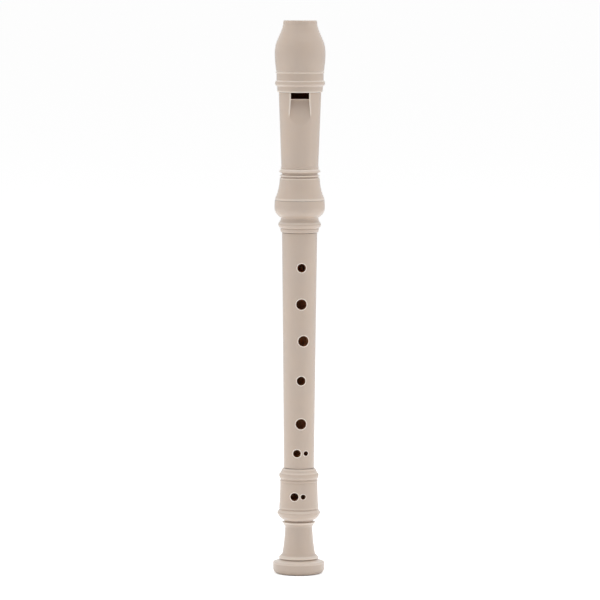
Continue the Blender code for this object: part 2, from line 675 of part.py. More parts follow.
def beak_cut_mesh():
    """Cutter for the hollow on the beak's underside: a round bar lying across the back."""
    bm = bmesh.new()
    length = 2 * collar_radius + 2 * CHEEK_PROUD + 2 * CUT_MARGIN
    radius = BEAK_CUT_RADIUS
    bmesh.ops.create_cone(
        bm, cap_ends=True, segments=BEAK_CUT_SIDES, radius1=radius, radius2=radius, depth=length)
    tip_back = BEAK_TIP_THICKNESS - beak_tip_radius
    lay_across = Matrix.Rotation(math.radians(90), 4, 'Y')
    place = Matrix.Translation((0.0, tip_back + BEAK_CUT_RADIUS, mouthpiece_height)) @ lay_across
    bmesh.ops.transform(bm, matrix=place, verts=bm.verts)
    return mesh_from("beak_cutter", bm)


def make_mouthpiece(parent, height):
    """The mouthpiece: a cap over the barrel's spigot, with the windway's roof and the beak."""
    outer = mouthpiece_outline()
    inner = Outline(mouthpiece_socket_radius)
    inner.up_to(SPIGOT_LENGTH)
    inner.line(HEAD_BORE_RADIUS)
    inner.up_to(outer.height)
    piece = add_piece("mouthpiece", turned_mesh("mouthpiece", outer, inner), parent, height)
    half = windway_half_width
    low = -CUT_MARGIN
    high = mouthpiece_height + CUT_MARGIN
    windway = [
        (windway_roof_at(low), low, half),
        (windway_roof_at(high), high, half),
        (0.0, high, half),
        (0.0, low, half),
    ]
    cut(piece, "windway_cutter", side_cut_mesh("windway_cutter", windway))
    cut(piece, "beak_cutter", beak_cut_mesh())


def block_outline(bm, floor, height):
    """Cross-section of the block: a round plug with a pad whose flat top is the windway's floor."""
    plug = HEAD_BORE_RADIUS - SEAT_GAP
    pad = windway_half_width - SEAT_GAP
    start = math.asin(pad / plug)
    verts = [bm.verts.new((-pad, -floor, height)), bm.verts.new((pad, -floor, height))]
    for step in range(TURNED_SIDES + 1):
        angle = start + (math.tau - 2 * start) * step / TURNED_SIDES
        verts.append(bm.verts.new((plug * math.sin(angle), -plug * math.cos(angle), height)))
    return [bm.edges.new(pair) for pair in zip(verts, verts[1:] + verts[:1])]


def make_windway_block(parent, height):
    """The block: a plug pushed into the head, whose flat top is the windway's floor."""
    bm = bmesh.new()
    sections = [
        block_outline(bm, floor_at_exit - BLOCK_CHAMFER, 0.0),
        block_outline(bm, floor_at_exit, BLOCK_CHAMFER),
        block_outline(bm, floor_at_entry, mouthpiece_height),
    ]
    for lower, upper in zip(sections, sections[1:]):
        bmesh.ops.bridge_loops(bm, edges=lower + upper)
    bmesh.ops.holes_fill(bm, edges=sections[0] + sections[-1], sides=0)
    piece = add_piece("windway_block", mesh_from("windway_block", bm), parent, height)
    cut(piece, "block_beak_cutter", beak_cut_mesh())


def make_recorder():
    """Stack the pieces from the foot's flat base up to the beak's tip."""
    clear_scene()
    foot_axis = add_object("foot_axis", None)
    base_height = make_foot_base_ring(foot_axis, 0.0)
    spigot_length = base_height - BASE_LEDGE
    foot_seat = base_height + SEAT_GAP
    foot_height, foot_socket_depth = make_foot_joint(foot_axis, foot_seat, spigot_length)
    middle_seat = foot_seat + foot_height + SEAT_GAP
    make_middle_joint(middle_seat, foot_socket_depth)
    head_seat = middle_seat + middle_height + SEAT_GAP
    head_axis = add_object("head_axis", None, height=head_seat)
    ring_height, rim_radius = make_head_socket_ring(head_axis, 0.0)
    barrel_seat = ring_height + SEAT_GAP
    sleeve_length = ring_height - RING_LIP
    socket_depth = UPPER_TENON_LENGTH - barrel_seat
    shoulder = make_head_barrel(head_axis, barrel_seat, sleeve_length, socket_depth, rim_radius)
    mouthpiece_seat = barrel_seat + shoulder + SEAT_GAP
    make_mouthpiece(head_axis, mouthpiece_seat)
    make_windway_block(head_axis, mouthpiece_seat)
    bpy.context.view_layer.update()


make_recorder()
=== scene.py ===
"""Looks of a descant recorder in ivory plastic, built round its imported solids.

The recorder stands on its foot along +Z, with the window and the finger holes facing -Y.
Lengths are in millimetres, and each piece is drawn from its own seat upwards.
"""

import math

import bmesh
import bpy
import numpy as np
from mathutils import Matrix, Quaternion, Vector


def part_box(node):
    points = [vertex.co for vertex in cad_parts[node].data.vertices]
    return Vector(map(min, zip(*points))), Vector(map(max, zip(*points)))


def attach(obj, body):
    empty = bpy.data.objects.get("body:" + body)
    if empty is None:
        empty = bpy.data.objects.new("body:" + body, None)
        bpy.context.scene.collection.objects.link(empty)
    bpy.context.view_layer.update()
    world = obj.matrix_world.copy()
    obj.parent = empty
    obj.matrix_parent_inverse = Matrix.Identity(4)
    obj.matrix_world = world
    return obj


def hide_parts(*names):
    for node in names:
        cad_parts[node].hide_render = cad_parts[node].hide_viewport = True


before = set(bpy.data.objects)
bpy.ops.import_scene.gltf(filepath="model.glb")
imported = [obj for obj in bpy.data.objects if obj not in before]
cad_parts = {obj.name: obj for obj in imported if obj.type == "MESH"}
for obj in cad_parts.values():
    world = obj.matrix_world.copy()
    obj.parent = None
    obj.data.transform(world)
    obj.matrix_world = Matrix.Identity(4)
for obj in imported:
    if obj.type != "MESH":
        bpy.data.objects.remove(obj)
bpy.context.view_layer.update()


# Foot flange
# The flange is a thick ring of ivory ABS, moulded by itself, that the recorder stands on.
# It is pushed up over the foot's spigot and glued, and its large lower round lifts the rim off the table.
MM = 0.001
# Point attribute of painted light: below zero a painted highlight, above zero painted shade
PAINTED_LIGHT_LAYER = "painted_light"
COLUMNS = 144
HALF = COLUMNS // 2
PITCH = math.tau / COLUMNS
ARC_STEP = math.radians(7.0)
CORNER_STEPS = 4
CORNER_TURN = math.radians(16.0)
CORNER_ROOM = 0.46
SHARP_ANGLE = math.radians(52.0)
FINE_ROUND = 0.12
BAND_EDGE = 0.04
BAND_GUARD = 0.01
TINY = 0.001

FOOT_BORE_END = 5.7
FLANGE_RADIUS = 15.35
FLANGE_FLAT_RADIUS = 11.9
FLANGE_LOWER_ROUND = 3.0
FLANGE_LOWER_BULGE = 0.86
FLANGE_SIDE_TOP = 6.6
FLANGE_CONE_FOOT = 7.4
FLANGE_CONE_RADIUS = 14.75
FLANGE_CONE_BULGE = 0.18
FLANGE_LIP_RADIUS = 12.0
FLANGE_LIP = 8.35
FLANGE_TOP = 9.02
FLANGE_LEDGE = 1.7
FLANGE_SOCKET = 8.45
MOUTH_CHAMFER = 0.35
# Painted highlights on the turning's rings: from a height, to a height, and how much of the way
FLANGE_HIGHLIGHTS = ((6.2, 7.4, 0.35), (7.4, 8.45, 0.6))


def lengths(path):
    """Length along a line up to each of its points."""
    return np.concatenate(([0.0], np.cumsum(np.linalg.norm(np.diff(path, axis=0), axis=1))))


def bent(start, corner, end, share):
    """Point at a share of the way along a round from start to end, drawn towards its corner."""
    return (1 - share) ** 2 * start + 2 * share * (1 - share) * corner + share ** 2 * end


class Outline:
    """Outline of a turned piece in radius and height, drawn up the outside and down the inside."""

    def __init__(self, radius, height):
        self.points = [(radius, height)]

    def to(self, radius, height):
        """Straight cut to a radius and a height."""
        self.points.append((radius, height))
        return self

    def arc(self, radius, height, bulge):
        """Round cut to a radius and a height, proud of the straight one by bulge, or hollow below zero."""
        start = self.points[-1]
        chord_r, chord_z = radius - start[0], height - start[1]
        chord = math.hypot(chord_r, chord_z)
        half_angle = 2 * math.atan2(abs(bulge), chord / 2)
        arc_radius = chord / 2 / math.sin(half_angle)
        steps = max(4, math.ceil(2 * half_angle / ARC_STEP))
        for step in range(1, steps + 1):
            angle = half_angle * (2 * step / steps - 1)
            along = chord / 2 + arc_radius * math.sin(angle)
            proud = math.copysign(arc_radius * (math.cos(angle) - math.cos(half_angle)), bulge)
            self.points.append((
                start[0] + (along * chord_r + proud * chord_z) / chord,
                start[1] + (along * chord_z - proud * chord_r) / chord))
        return self

    def rounded(self, size=FINE_ROUND):
        """Points of the outline, with a small round of this size at every corner."""
        path = np.array(self.points)
        along = lengths(path)
        steps = np.diff(path, axis=0)
        heading = np.unwrap(np.arctan2(steps[:, 1], steps[:, 0]))
        corners = [k for k in range(1, len(heading)) if abs(heading[k] - heading[k - 1]) > CORNER_TURN]
        stops = [0.0] + [along[k] for k in corners] + [along[-1]]
        rooms = {}
        for number, corner in enumerate(corners, start=1):
            near = min(stops[number] - stops[number - 1], stops[number + 1] - stops[number])
            rooms[corner] = min(size, CORNER_ROOM * near)
        result = []
        for index, point in enumerate(path):
            if index in rooms:
                ends = [
                    np.array([np.interp(along[index] + reach, along, path[:, axis]) for axis in (0, 1)])
                    for reach in (-rooms[index], rooms[index])]
                for share in np.linspace(0.0, 1.0, CORNER_STEPS + 1):
                    result.append(tuple(bent(ends[0], point, ends[1], share).tolist()))
            elif all(abs(along[index] - along[corner]) > room for corner, room in rooms.items()):
                result.append(tuple(point.tolist()))
        return result


def painted_highlight_at(height, zones):
    """Painted light at a height: zero, or below zero for a painted highlight on the raised rings."""
    return -max([share for low, high, share in zones if low < height < high], default=0.0)


def banded(points, zones):
    """Points of an outline, with one just inside and one just outside each end of its painted highlight
    zones.
    """
    ends = [end for low, high, _ in zones for end in (low, high)]
    cuts = sorted({round(end + shift, 3) for end in ends for shift in (-BAND_EDGE, BAND_EDGE)})
    result = [points[0]]
    for start, stop in zip(points, points[1:]):
        for height in [cut for cut in cuts if start[1] + BAND_GUARD < cut < stop[1] - BAND_GUARD]:
            share = (height - start[1]) / (stop[1] - start[1])
            result.append((start[0] + share * (stop[0] - start[0]), height))
        result.append(stop)
    return result


def around(radius, angle, height):
    """Point at an angle about the axis, where zero is the front and a quarter turn is the right side."""
    return radius * math.sin(angle), -radius * math.cos(angle), height


class Mould:
    """Points and faces of one piece, gathered ring by ring.

    Each point has a painted light value for the material: 0 on the plain skin, down to -1 for a painted
    highlight,
    0.5 in the windway's slot and 1 in the bore for painted shade, and up to 2 for deeper painted shade on
    the walls of the holes and the window.
    """

    def __init__(self):
        self.points = []
        self.painted_lights = []
        self.faces = []

    def add(self, points, painted_light=0.0):
        """Add points and give back their numbers."""
        first = len(self.points)
        self.points.extend(points)
        self.painted_lights.extend(np.broadcast_to(painted_light, len(self.points) - first).tolist())
        return list(range(first, len(self.points)))

    def face(self, corners):
        """Add a face, whose corners may coincide."""
        kept = [corner for number, corner in enumerate(corners) if corner != corners[number - 1]]
        if len(set(kept)) > 2:
            self.faces.append(kept)

    def quad(self, ring, other, k):
        """Face between two rows, from one point to the next."""
        after = (k + 1) % len(ring)
        self.face([ring[k], ring[after], other[after], other[k]])

    def strip(self, ring, other, closed=True):
        """Faces between two rows of as many points."""
        for k in range(len(ring) if closed else len(ring) - 1):
            self.quad(ring, other, k)

    def stack(self, rings):
        """Faces between each closed row and the next."""
        for ring, other in zip(rings, rings[1:]):
            self.strip(ring, other)

    def spin(self, outline, seat, zones):
        """Turn an outline about the axis, a seat's height up, with painted highlights in some zones."""
        rings = []
        for radius, height in banded(outline, zones):
            ring = [around(radius, PITCH * k, seat + height) for k in range(COLUMNS)]
            rings.append(self.add(ring, painted_highlight_at(height, zones)))
        self.stack(rings + rings[:1])

    def piece(self, name, node, body, material):
        """Make the object, which stands for a node of the frame and moves with its body."""
        bm = bmesh.new()
        layer = bm.verts.layers.float.new(PAINTED_LIGHT_LAYER)
        verts = [bm.verts.new(Vector(point) * MM) for point in self.points]
        for vert, painted_light in zip(verts, self.painted_lights):
            vert[layer] = painted_light
        for corners in self.faces:
            bm.faces.new([verts[number] for number in corners])
        loose = [vert for vert in bm.verts if not vert.link_faces]
        bmesh.ops.delete(bm, geom=loose, context='VERTS')
        bmesh.ops.recalc_face_normals(bm, faces=bm.faces)
        mesh = bpy.data.meshes.new(name)
        bm.to_mesh(mesh)
        bm.free()
        mesh.shade_smooth()
        mesh.set_sharp_from_angle(angle=SHARP_ANGLE)
        mesh.materials.append(material)
        item = bpy.data.objects.new(name, mesh)
        bpy.context.scene.collection.objects.link(item)
        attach(item, body)
        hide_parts(node)


def seat_of(node, below=0.0):
    """Height of a piece's seat, which is this far above its lowest point."""
    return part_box(node)[0].z / MM + below


def new_node(nodes, kind, **values):
    """New shader node, with plain values on its sockets."""
    node = nodes.new("ShaderNode" + kind)
    for socket, value in values.items():
        node.inputs[socket.replace("_", " ")].default_value = value
    return node


def ivory_plastic(name, seed, painted_shade=0.0):
    """Moulded ivory ABS: two close tones, faint flow marks, a satin skin and a fine grain.

    Painted shade darkens the corners, painted highlights make the rings pale, and painted shade makes the
    bore and the holes' walls dark.
    """
    material = bpy.data.materials.new(name)
    material.use_nodes = True
    nodes = material.node_tree.nodes
    link = material.node_tree.links.new
    shader = nodes["Principled BSDF"]
    place = new_node(nodes, "TexCoord")

    def noise(scale, detail, stretch=(1.0, 1.0, 1.0)):
        mapping = new_node(nodes, "Mapping", Scale=stretch, Location=(seed, 2.0 * seed, 3.0 * seed))
        link(place.outputs["Object"], mapping.inputs["Vector"])
        texture = new_node(nodes, "TexNoise", Scale=scale, Detail=detail)
        link(mapping.outputs["Vector"], texture.inputs["Vector"])
        return texture.outputs["Fac"]

    def ramp(source, low, high, start=0.0, end=1.0):
        node = new_node(nodes, "MapRange", From_Min=start, From_Max=end, To_Min=low, To_Max=high)
        link(source, node.inputs["Value"])
        return node.outputs["Result"]

    def blend(factor, first, second):
        node = new_node(nodes, "Mix")
        node.data_type = 'RGBA'
        link(factor, node.inputs["Factor"])
        for socket, value in ((node.inputs[6], first), (node.inputs[7], second)):
            if isinstance(value, tuple):
                socket.default_value = value
            else:
                link(value, socket)
        return node.outputs[2]

    clouds = noise(CLOUD_SCALE, 3.0)
    flow = noise(FLOW_SCALE, 4.0, stretch=(1.0, 1.0, FLOW_STRETCH))
    tone = blend(ramp(clouds, 0.0, 1.0, 0.35, 0.65), IVORY_WARM, IVORY_COOL)
    tone = blend(ramp(flow, 0.0, 0.25, 0.45, 0.75), tone, IVORY_FLOW)
    # Painted shade: the whole piece darker by a share, used to darken the beak
    darker = new_node(nodes, "HueSaturation", Value=1.0 - painted_shade)
    link(tone, darker.inputs["Color"])
    tone = darker.outputs["Color"]
    # Painted shade: corners and creases darkened by ambient occlusion
    corners = new_node(nodes, "AmbientOcclusion", Distance=CORNER_SHADE_REACH)
    corners.samples = 8
    painted_light = new_node(nodes, "Attribute")
    painted_light.attribute_name = PAINTED_LIGHT_LAYER
    tone = blend(ramp(corners.outputs["AO"], 1.0, 0.0, CORNER_SHADE_DEEP, CORNER_SHADE_OPEN), tone, IVORY_CORNER_SHADE)
    # Painted highlight: paler where the painted light value is below zero
    tone = blend(ramp(painted_light.outputs["Fac"], 1.0, 0.0, -1.0, 0.0), tone, IVORY_HIGHLIGHT)
    # Painted shade in the bore and the slot, and deeper painted shade on the walls of the holes and the
    # window
    in_bore = ramp(painted_light.outputs["Fac"], 0.0, 1.0, 0.1, 0.4)
    tone = blend(in_bore, tone, IVORY_BORE_SHADE)
    tone = blend(ramp(painted_light.outputs["Fac"], 0.0, 1.0, 1.0, 1.5), tone, IVORY_DEEP_SHADE)
    link(tone, shader.inputs["Base Color"])
    satin = ramp(noise(SATIN_SCALE, 5.0), SATIN_SMOOTH, SATIN_ROUGH, 0.3, 0.7)
    roughness = new_node(nodes, "Math")
    roughness.operation = 'MAXIMUM'
    link(satin, roughness.inputs[0])
    link(in_bore, roughness.inputs[1])
    link(roughness.outputs["Value"], shader.inputs["Roughness"])
    link(ramp(in_bore, 0.6, 0.1), shader.inputs["Specular IOR Level"])
    link(ramp(in_bore, 1.0, 0.0), shader.inputs["Coat Weight"])

    grain = new_node(nodes, "Bump", Strength=GRAIN_STRENGTH, Distance=GRAIN_HEIGHT)
    link(noise(GRAIN_SCALE, 2.0), grain.inputs["Height"])
    ripple = new_node(nodes, "Bump", Strength=RIPPLE_STRENGTH, Distance=RIPPLE_HEIGHT)
    link(noise(RIPPLE_SCALE, 2.0, stretch=(1.0, 1.0, RIPPLE_STRETCH)), ripple.inputs["Height"])
    link(grain.outputs["Normal"], ripple.inputs["Normal"])
    link(ripple.outputs["Normal"], shader.inputs["Normal"])
    shader.inputs["Coat Roughness"].default_value = 0.3
    shader.inputs["Subsurface Weight"].default_value = 0.08
    shader.inputs["Subsurface Radius"].default_value = (1.0, 0.7, 0.45)
    shader.inputs["Subsurface Scale"].default_value = GLOW_DEPTH
    return material


IVORY_WARM = (0.620, 0.495, 0.400, 1.0)
IVORY_COOL = (0.602, 0.487, 0.402, 1.0)
IVORY_FLOW = (0.640, 0.518, 0.423, 1.0)
# Colour of the painted shade in corners and creases
IVORY_CORNER_SHADE = (0.20, 0.115, 0.065, 1.0)
# Colour of the painted highlights on ring edges, hole rims, the labium and the window's sides
IVORY_HIGHLIGHT = (0.93, 0.83, 0.735, 1.0)
# Colours of the painted shade in the bore, and of the deeper painted shade on the walls of the holes and the
# window
IVORY_BORE_SHADE = (0.86, 0.48, 0.26, 1.0)
IVORY_DEEP_SHADE = (0.16, 0.055, 0.02, 1.0)
# Reach of the painted corner shade, and the occlusion at which it is full and at which it ends
CORNER_SHADE_REACH = 0.0007
CORNER_SHADE_DEEP = 0.1
CORNER_SHADE_OPEN = 0.58
CLOUD_SCALE = 70.0
FLOW_SCALE = 240.0
FLOW_STRETCH = 0.12
SATIN_SCALE = 160.0
SATIN_SMOOTH = 0.3
SATIN_ROUGH = 0.44
GRAIN_SCALE = 5200.0
GRAIN_HEIGHT = 0.00002
GRAIN_STRENGTH = 0.05
RIPPLE_SCALE = 420.0
RIPPLE_STRETCH = 0.4
RIPPLE_HEIGHT = 0.0001
RIPPLE_STRENGTH = 0.12
GLOW_DEPTH = 0.0012

flange = Outline(FOOT_BORE_END, MOUTH_CHAMFER)
flange.to(FOOT_BORE_END + MOUTH_CHAMFER, 0.0)
flange.to(FLANGE_FLAT_RADIUS, 0.0)
flange.arc(FLANGE_RADIUS, FLANGE_LOWER_ROUND, FLANGE_LOWER_BULGE)
flange.to(FLANGE_RADIUS, FLANGE_SIDE_TOP)
flange.arc(FLANGE_CONE_RADIUS, FLANGE_CONE_FOOT, FLANGE_CONE_BULGE)
flange.to(FLANGE_LIP_RADIUS, FLANGE_LIP)
flange.to(FLANGE_LIP_RADIUS - 0.4, FLANGE_LIP + 0.15).to(FLANGE_LIP_RADIUS - 0.8, FLANGE_TOP)
flange.to(FLANGE_SOCKET, FLANGE_TOP)
flange.to(FLANGE_SOCKET, FLANGE_LEDGE)
flange.to(FOOT_BORE_END, FLANGE_LEDGE)
flange_mould = Mould()
flange_mould.spin(flange.rounded(), seat_of("foot_base_ring"), FLANGE_HIGHLIGHTS)
flange_mould.piece("foot_flange", "foot_base_ring", "foot", ivory_plastic("flange_ivory", 1.3))


# Foot
# The foot is one moulding in ivory ABS: a socket for the middle tube, the seventh pair of holes, a belly,
# a groove with a thin fin, and a hollow stem. It turns on the middle tube's tenon to suit the little finger.
PATCH_ROWS = 18
HOLE_ROUND = 0.4
SMALL_HOLE_ROUND = 0.3
# Width outside each hole's rim over which its painted highlight fades in
HIGHLIGHT_BAND = 0.28
ROUND_STEPS = 6
# Steps of each rim's round that carry the painted highlight
PALE_STEPS = 4
# Strength of the painted highlight on the holes' rims
RIM_HIGHLIGHT = -1.6
# Painted shade on the walls of the holes
WALL_DARK = 1.6
SPOKE_SHARES = (0.78, 0.56, 0.36, 0.18, 0.0)
BORE_SPOKE_SHARES = (0.6, 0.25, 0.0)

FOOT_SPIGOT = 6.9
FOOT_SPIGOT_RADIUS = 8.3
FOOT_BORE_TOP = 5.0
FOOT_SOCKET_FLOOR = 41.55
FOOT_SOCKET_RADIUS = 7.4
FOOT_TOP = 54.6
BEAD_RADIUS = 11.84
STEM_RADIUS = 8.2
FIN_RADIUS = 9.95
FIN_GROOVE_RADIUS = 8.3
BELLY_RADIUS = 12.84
FOOT_BARREL_RADIUS = 11.12
SEVENTH_HEIGHT = 38.2
SEVENTH_REACH = 3.272727
# Sideways place and radius of each hole of the pair
SEVENTH_LARGE = (-2.58, 2.31)
SEVENTH_SMALL = (2.6, 1.41)


def radius_on(points, height):
    """Radius of a line of points at a height, or at several."""
    return np.interp(height, [point[1] for point in points], [point[0] for point in points])


def rows_between(points, low, high):
    """Replace an outline's points between two heights by even rows, and give the number of the first."""
    inside = [k for k, point in enumerate(points) if low - TINY < point[1] < high + TINY]
    if inside:
        first, last = inside[0], inside[-1]
    else:
        first = next(
            k + 1 for k in range(len(points) - 1) if points[k][1] <= low and points[k + 1][1] >= high)
        last = first - 1
    heights = np.linspace(low, high, PATCH_ROWS + 1)
    radii = radius_on(points[first - 1:last + 2], heights)
    return points[:first] + list(zip(radii.tolist(), heights.tolist())) + points[last + 1:], first


class Skin:
    """One side of a drilled wall: a turned surface with square patches left out round the holes."""

    def __init__(self, mould, outline, seat, turn, spread, painted_light, zones=()):
        self.mould = mould
        self.painted_light = painted_light
        self.outline = outline
        self.seat = seat
        self.angle = lambda column: turn + spread(PITCH * column)
        self.rings = []
        for radius, height in outline:
            points = [around(radius, self.angle(column), seat + height) for column in range(COLUMNS)]
            self.rings.append(mould.add(points, painted_light + painted_highlight_at(height, zones)))
        self.patches = []

    def radius_at(self, height, row):
        """Radius of the surface at a height inside the patch that starts at this row."""
        return float(radius_on(self.outline[row:row + PATCH_ROWS + 1], height))

    def edge(self, row, low, high):
        """Rows and columns round a patch, from its lower left corner to the right."""
        top = row + PATCH_ROWS
        return ([(row, column) for column in range(low, high)]
                + [(k, high) for k in range(row, top)]
                + [(top, column) for column in range(high, low, -1)]
                + [(k, low) for k in range(top, row, -1)])

    def fill(self):
        """Faces of the surface, without its patches."""
        left_out = set()
        for row, low, high in self.patches:
            for k in range(row, row + PATCH_ROWS):
                left_out.update((k, column % COLUMNS) for column in range(low, high))
        for row in range(len(self.rings) - 1):
            for column in range(COLUMNS):
                if (row, column) not in left_out:
                    self.mould.quad(self.rings[row], self.rings[row + 1], column)


def drill(outer, inner, rows, columns, turn, offset, height, radius, rim):
    """Hole through a wall: spokes from the patch to a rounded rim, the hole's side, and the bore's patch.

    Offset is the hole's place sideways and height its place up the piece, both at its middle.
    """
    low, high = columns
    middle = turn + math.asin(offset / outer.radius_at(height, rows[0]))
    across = outer.radius_at(height, rows[0])
    edge = outer.edge(rows[0], low, high)
    spokes = [
        math.atan2(outer.outline[row][1] - height, across * (outer.angle(column) - middle))
        for row, column in edge]

    def rings_of(skin, row, reach, shares):
        border = skin.edge(row, low, high)
        rings = [[skin.rings[k][column % COLUMNS] for k, column in border]]
        for share in shares:
            points = []
            for (k, column), spoke in zip(border, spokes):
                up = height + reach * math.sin(spoke)
                side = offset + reach * math.cos(spoke)
                angle = turn + math.asin(side / skin.radius_at(up, row))
                angle += share * (skin.angle(column) - angle)
                up += share * (skin.outline[k][1] - up)
                points.append(around(skin.radius_at(up, row), angle, skin.seat + up))
            rings.append(skin.mould.add(points, skin.painted_light))
        skin.patches.append((row, low, high))
        return rings

    mould = outer.mould
    outer_rings = rings_of(outer, rows[0], radius + rim + HIGHLIGHT_BAND, SPOKE_SHARES)
    for step in range(ROUND_STEPS + 1):
        lean = math.pi / 2 * (1 - step / ROUND_STEPS)
        reach = radius + rim * (1 - math.cos(lean))
        points = []
        for spoke in spokes:
            up = height + reach * math.sin(spoke)
            side = offset + reach * math.cos(spoke)
            deep = math.sqrt(outer.radius_at(up, rows[0]) ** 2 - side ** 2) - rim * (1 - math.sin(lean))
            points.append(around(math.hypot(side, deep), turn + math.atan2(side, deep), outer.seat + up))
        # Painted highlight on the rim's outer steps, painted shade on the rest of the hole's wall
        outer_rings.append(mould.add(points, RIM_HIGHLIGHT if step < PALE_STEPS else WALL_DARK))
    inner_rings = rings_of(inner, rows[1], radius, BORE_SPOKE_SHARES)
    mould.stack(outer_rings)
    mould.strip(outer_rings[-1], inner_rings[-1])
    mould.stack(inner_rings)


def drill_pair(outer, inner, rows, columns, turn, height, large, small):
    """A large and a small hole side by side, on the two sides of a web's column."""
    left, web, right = columns
    drill(outer, inner, rows, (left, web), turn, large[0], height, large[1], HOLE_ROUND)
    drill(outer, inner, rows, (web, right), turn, small[0], height, small[1], SMALL_HOLE_ROUND)


def wall_of(mould, outside, inside, zones, seat, turn, knots, highlight_zones=()):
    """Both sides of a drilled tube, with even rows where the holes come, and its two ends closed."""
    starts = []
    for low, high in sorted(zones):
        outside, first = rows_between(outside, low, high)
        inside, second = rows_between(inside, low, high)
        starts.append((first, second))

    def spread(angle):
        """Columns of the bore, which stand wider apart where the holes are."""
        wrapped = math.remainder(angle, math.tau)
        return angle - wrapped + math.copysign(float(np.interp(abs(wrapped), *knots)), wrapped)

    outer = Skin(mould, outside, seat, turn, lambda angle: angle, 0.0, highlight_zones)
    # The bore is given painted shade
    inner = Skin(mould, inside, seat, turn, spread, 1.0)
    return outer, inner, dict(zip(sorted(zones), starts))


def close_wall(outer, inner):
    """Fill both sides of a drilled tube and join them at its ends."""
    outer.fill()
    inner.fill()
    outer.mould.strip(outer.rings[0], inner.rings[0])
    outer.mould.strip(outer.rings[-1], inner.rings[-1])


foot_outside = Outline(FOOT_SPIGOT_RADIUS, -FOOT_SPIGOT)
foot_outside.to(FOOT_SPIGOT_RADIUS, 0.2).to(11.5, 0.2).arc(BEAD_RADIUS, 0.5, 0.08).to(BEAD_RADIUS, 1.1)
foot_outside.to(10.85, 2.2).arc(9.82, 3.35, -0.12).arc(STEM_RADIUS, 18.3, -0.26).to(STEM_RADIUS, 19.5)
foot_outside.arc(FIN_RADIUS, 22.0, -0.06).to(FIN_RADIUS, 22.2)
foot_outside.to(FIN_GROOVE_RADIUS, 22.75).to(FIN_GROOVE_RADIUS, 23.4)
foot_outside.to(9.3, 23.45).to(10.0, 23.75).arc(12.28, 26.4, 0.14)
foot_outside.arc(BELLY_RADIUS, 27.65, 0.06).arc(12.7, 28.25, 0.06).to(11.86, 29.45).to(11.8, 29.7)
foot_outside.to(11.45, 29.8).to(11.45, 30.2).to(11.78, 30.3).arc(FOOT_BARREL_RADIUS, 45.9, -0.1)
foot_outside.to(11.0, 46.0).to(11.0, 46.15).to(11.2, 46.3).arc(11.14, 47.5, 0.1)
foot_outside.to(10.9, 47.65).to(10.9, 48.1).to(11.3, 48.4).arc(BEAD_RADIUS, 50.1, 0.1)
foot_outside.arc(11.62, 51.15, 0.08).to(11.15, 51.7).to(10.98, 51.8).to(10.6, 52.6).to(10.42, 52.8)
foot_outside.to(10.27, 53.4).arc(9.3, FOOT_TOP - 0.1, 0.08).to(FOOT_SOCKET_RADIUS + MOUTH_CHAMFER, FOOT_TOP)
foot_inside = Outline(FOOT_BORE_END, -FOOT_SPIGOT)
foot_inside.to(FOOT_BORE_TOP, FOOT_SOCKET_FLOOR).to(FOOT_SOCKET_RADIUS, FOOT_SOCKET_FLOOR)
foot_inside.to(FOOT_SOCKET_RADIUS, FOOT_TOP - MOUTH_CHAMFER)
# Angles of the outside's columns and of the bore's, which stand wider apart behind the holes
FOOT_SPREAD = (np.radians((0.0, 32.5, 180.0)), np.radians((0.0, 80.0, 180.0)))
# Painted highlights on the foot's rings: from a height, to a height, and how much of the way
FOOT_HIGHLIGHTS = (
    (0.5, 1.2, 0.65), (1.2, 2.2, 0.45), (21.0, 21.6, 0.35), (21.6, 22.35, 0.7), (23.5, 24.0, 0.5),
    (24.0, 25.3, 0.25), (28.15, 29.5, 0.3), (30.6, 31.2, 0.25), (48.45, 49.1, 0.2), (51.45, 52.15, 0.4),
    (52.15, 52.8, 0.2), (53.3, 54.5, 0.3))
FOOT_PAIR_COLUMNS = (-13, 1, 11)

foot_mould = Mould()
seventh_zone = (SEVENTH_HEIGHT - SEVENTH_REACH, SEVENTH_HEIGHT + SEVENTH_REACH)
foot_seat = seat_of("foot_joint", FOOT_SPIGOT)
foot_outer, foot_inner, starts = wall_of(
    foot_mould, banded(foot_outside.rounded(), FOOT_HIGHLIGHTS), foot_inside.rounded(), [seventh_zone],
    foot_seat, 0.0, FOOT_SPREAD, FOOT_HIGHLIGHTS)
drill_pair(foot_outer, foot_inner, starts[seventh_zone], FOOT_PAIR_COLUMNS, 0.0,
           SEVENTH_HEIGHT, SEVENTH_LARGE, SEVENTH_SMALL)
close_wall(foot_outer, foot_inner)
foot_mould.piece("foot_turning", "foot_joint", "foot", ivory_plastic("foot_ivory", 4.1))


# Middle tube
# The middle is a tapered tube in ivory ABS with a grooved tenon at each end. Six places for the fingers
# are drilled in a line down its front, the last of them a pair, and the thumb hole is behind.
LOWER_TENON = 13.3
LOWER_TENON_RADIUS = 7.25
UPPER_TENON_RADIUS = 8.5
TUBE_FOOT = -0.4
TUBE_LENGTH = 139.7
TUBE_TOP = 139.93
TUBE_FOOT_RADIUS = 9.0
TUBE_HEAD_RADIUS = 10.47
TENON_LENGTH = 20.0
TENON_CHAMFER = 0.5
GROOVE_DEPTH = 0.3
GROOVE_WIDTH = 1.4
GROOVE_PITCH = 5.0
LOWER_GROOVE = -7.35
UPPER_GROOVES = 144.0
MIDDLE_BORE = (4.9, 6.2)
MIDDLE_TURN = math.radians(7.4)
MIDDLE_SPREAD = (np.radians((0.0, 37.5, 155.0, 180.0)), np.radians((0.0, 72.0, 140.0, 180.0)))
SINGLE_COLUMNS = 10
SINGLE_REACH = 4.1
PAIR_REACH = 3.5
PAIR_COLUMNS = (-15, 2, 15)
PAIR_HEIGHT = 8.8
# Sideways place and radius of each hole of the pair
PAIR_LARGE = (-2.27, 2.17)
PAIR_SMALL = (3.03, 1.36)
